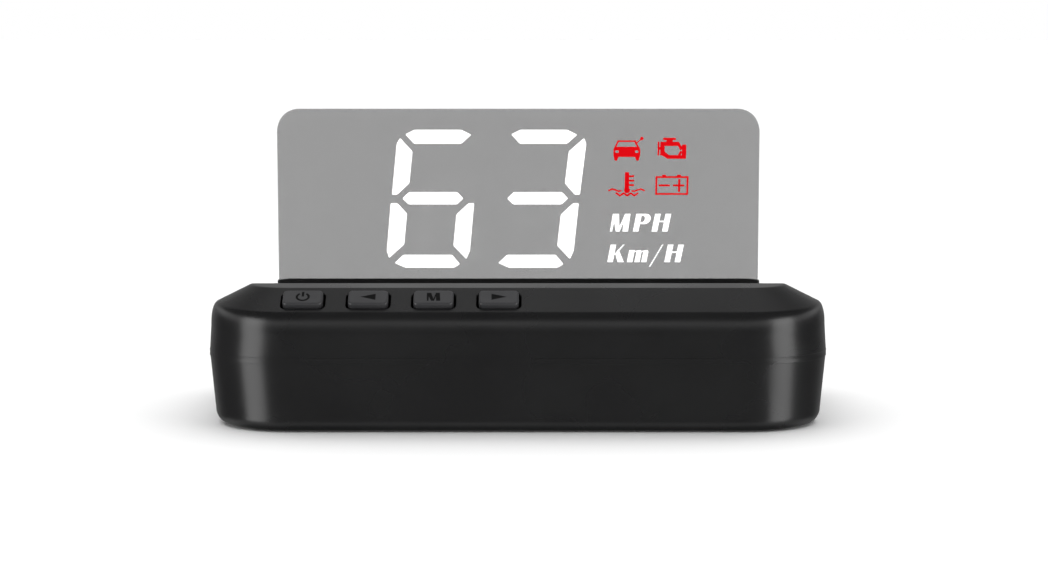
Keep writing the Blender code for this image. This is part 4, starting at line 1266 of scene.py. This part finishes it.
def make_screws():
    """Case screws point up into the upper shell; board screws point down."""
    corners = ("front_left", "front_right", "rear_left", "rear_right")
    # Name, (head radius, head height, shank radius, shank length), and 1 where the head is on top
    kinds = (
        ("case_screw", (2.5 * MM, 1.8 * MM, 1.1 * MM, 14.2 * MM), -1),
        ("board_screw", (1.9 * MM, 1.2 * MM, 0.9 * MM, 3.6 * MM), 1),
    )
    for kind, sizes, up in kinds:
        for corner in corners:
            low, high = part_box(f"{kind}_{corner}")
            seat = high.z - sizes[1] if up > 0 else low.z + sizes[1]
            place = Matrix.Translation(((low.x + high.x) / 2, (low.y + high.y) / 2, seat))
            if up < 0:
                place @= Matrix.Rotation(math.pi, 4, "X")
            bm = placed(screw_solid(*sizes), place)
            slot = "dark_steel" if kind == "case_screw" else "bright_steel"
            piece(f"cross_{kind}_{corner}", bm, "base", slot, f"{kind}_{corner}")


def make_port():
    """Folded steel shell with rounded corners, and a tongue with five gilt contacts."""
    size = PORT_HIGH - PORT_LOW
    wall, corner, inner_corner, edge = 0.35 * MM, 0.6 * MM, 0.35 * MM, 0.12 * MM
    outer = box((size.x, size.z, size.y), (0, 0, -size.y / 2), corner, edge, 4)
    inner = (size.x - 2 * wall, size.z - 2 * wall)
    hole = box((*inner, size.y + 2 * MM), (0, 0, -size.y / 2), inner_corner)
    rim = frustum(inner, inner_corner, -edge, edge, edge)
    shell = carve(outer, [("DIFFERENCE", hole), ("DIFFERENCE", rim)])
    shell = lying(shell, PORT.x, PORT_HIGH.y, PORT.z)
    piece("usb_shell", shell, "base", "bright_steel", "usb_port_shell")
    low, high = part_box("usb_port_tongue")
    base = box((high.x - low.x, high.z - low.z, 1.6 * MM), (0, 0, 0.8 * MM))
    blade_size = (4.8 * MM, 0.9 * MM, high.y - low.y)
    blade = box(blade_size, (0, 0, blade_size[2] / 2), 0.15 * MM, 0.15 * MM, 3)
    tongue = lying(carve(base, [("UNION", blade)]), PORT.x, low.y, PORT.z)
    piece("usb_tongue", tongue, "base", "chip_epoxy", "usb_port_tongue")
    contact_size, pitch = (0.4 * MM, 4.2 * MM, 0.12 * MM), 0.85 * MM
    contact_y, contact_z = high.y - 2.6 * MM, PORT.z + 0.47 * MM
    for i in range(5):
        centre = (PORT.x + (i - 2) * pitch, contact_y, contact_z)
        contact = box(contact_size, centre, 0.1 * MM, 0.04 * MM, 2)
        piece(f"usb_contact_{i + 1}", contact, "base", "bright_steel", look=CONTACT_GOLD)


# ---------------------------------------------------------------- kept CAD nodes


def finish_of(node):
    """Material slot of a CAD node that keeps its shape."""
    for words, slot in (
        (("washer", "connector", "diffuser", "housing"), "white_nylon"),
        (("button_board_screw", "display_board_screw", "tact_switch", "crystal"), "bright_steel"),
        (("capacitor",), "can_aluminium"),
        (("_board",), "board_laminate"),
        (("ribbon",), "ribbon_film"),
        (("label",), "label_film"),
    ):
        if any(word in node for word in words):
            return slot
    return "chip_epoxy"


def finish_kept_nodes():
    for name, node in frame["nodes"].items():
        if node.hide_render:
            continue
        node.data.materials.clear()
        node.data.materials.append(LOOKS[finish_of(name)])


# ---------------------------------------------------------------- studio


def make_floor():
    bm = bmesh.new()
    bmesh.ops.create_grid(bm, x_segments=1, y_segments=1, size=6)
    floor = new_object("studio_floor", bm)
    made, _ = shader_of("pale_floor", (0.9, 0.9, 0.9), 0.9, Specular_IOR_Level=0.0)
    cloud_colour(made, 0.6, (1, 1, 1), 0.89, 0.91)
    floor.data.materials.append(made)
    floor.visible_glossy = False
    floor.visible_shadow = False


def add_light(name, kind, location, target, energy, **values):
    data = bpy.data.lights.new(name, kind)
    data.energy = energy
    for key, value in values.items():
        setattr(data, key, value)
    lamp = bpy.data.objects.new(name, data)
    bpy.context.scene.collection.objects.link(lamp)
    lamp.location = location
    lamp.rotation_euler = (Vector(target) - Vector(location)).to_track_quat("-Z", "Y").to_euler()
    lamp.visible_camera = False
    return lamp


def make_lights():
    """A broad soft top light for the floor, and two tall strips for the front corners."""
    top = add_light("top_light", "SUN", (0, 0.8, 2), (0, 0, 0), 3.3, angle=math.radians(100))
    top.visible_glossy = False
    azimuth, reach, height = math.radians(56), 0.9, 0.02
    shape = {"shape": "RECTANGLE", "size": 0.48, "size_y": 0.8}
    for side, name in ((-1, "left"), (1, "right")):
        location = (side * reach * math.sin(azimuth), -reach * math.cos(azimuth), height)
        add_light(f"{name}_strip", "AREA", location, (0, 0, height), 4.0, **shape)


def sky_ramp(tree, height, stops):
    """Grey level of the sky, through (sine of the height angle, level) stops."""
    ramp = add_node(tree, "ShaderNodeValToRGB")
    points = ramp.color_ramp.elements
    while len(points) < len(stops):
        points.new(1)
    for point, (z, level) in zip(points, stops):
        point.position = (z + 1) / 2
        point.color = (level, level, level, 1)
    tree.links.new(height, ramp.inputs["Fac"])
    return ramp.outputs["Color"]


def make_world():
    """White to the camera. In reflections the driver's side is dark with two bright bands, one above
    and one below the horizon, and the far side is grey."""
    world = bpy.data.worlds.new("studio")
    bpy.context.scene.world = world
    world.use_nodes = True
    tree = world.node_tree
    background = tree.nodes["Background"]
    axes = add_node(tree, "ShaderNodeSeparateXYZ")
    coordinates = add_node(tree, "ShaderNodeTexCoord")
    tree.links.new(coordinates.outputs["Generated"], axes.inputs["Vector"])
    height = remap(tree, axes.outputs["Z"], 0, 1, (-1, 1))
    front = sky_ramp(
        tree,
        height,
        (
            (-1, 0.05), (-0.75, 0.1), (-0.62, 0.5), (-0.46, 0.5), (-0.34, 0.06), (0.1, 0.06),
            (0.2, 0.95), (0.34, 0.95), (0.44, 0.06), (0.95, 0.04), (1, 0.04),
        ),
    )
    back = sky_ramp(
        tree,
        height,
        (
            (-1, 0.1), (-0.1, 0.25), (0, 0.32), (0.15, 0.34), (0.35, 0.2), (0.72, 0.18),
            (0.84, 0.4), (0.9, 0.5), (0.95, 0.5), (0.98, 0.06), (1, 0.04),
        ),
    )
    level = add_node(tree, "ShaderNodeVectorMath", operation="MULTIPLY")
    level.inputs[1].default_value = (1, 1, 0)
    tree.links.new(coordinates.outputs["Generated"], level.inputs[0])
    heading = add_node(tree, "ShaderNodeVectorMath", operation="NORMALIZE")
    tree.links.new(level.outputs["Vector"], heading.inputs[0])
    heading_axes = add_node(tree, "ShaderNodeSeparateXYZ")
    tree.links.new(heading.outputs["Vector"], heading_axes.inputs["Vector"])
    side = remap(tree, heading_axes.outputs["Y"], 0, 1, (0.5, 0.9))
    both = add_node(tree, "ShaderNodeMix", data_type="RGBA")
    tree.links.new(side, both.inputs["Factor"])
    tree.links.new(front, both.inputs[6])
    tree.links.new(back, both.inputs[7])
    seen = add_node(tree, "ShaderNodeMix", data_type="RGBA")
    seen.inputs[7].default_value = (1, 1, 1, 1)
    path = add_node(tree, "ShaderNodeLightPath")
    tree.links.new(path.outputs["Is Camera Ray"], seen.inputs["Factor"])
    tree.links.new(both.outputs[2], seen.inputs[6])
    tree.links.new(seen.outputs[2], background.inputs["Color"])


def make_camera():
    """Long lens on the driver's side, a little above the object."""
    data = bpy.data.cameras.new("camera")
    data.sensor_width = 36
    data.lens = 86.43
    data.clip_start = 0.01
    camera = bpy.data.objects.new("camera", data)
    camera.location = (1.17 * MM, -502 * MM, 80 * MM)
    camera.rotation_euler = (math.radians(90 - 6.258), 0, 0)
    bpy.context.scene.collection.objects.link(camera)
    bpy.context.scene.camera = camera
    bpy.context.scene.view_settings.view_transform = "Standard"


make_camera()
make_upper_case()
make_lower_case()
make_grip_pad()
make_reflector_plate()
make_hinge_bar()
make_hinge_pins()
make_display()
make_graphics()
make_keys()
make_screws()
make_port()
finish_kept_nodes()
make_floor()
make_lights()
make_world()
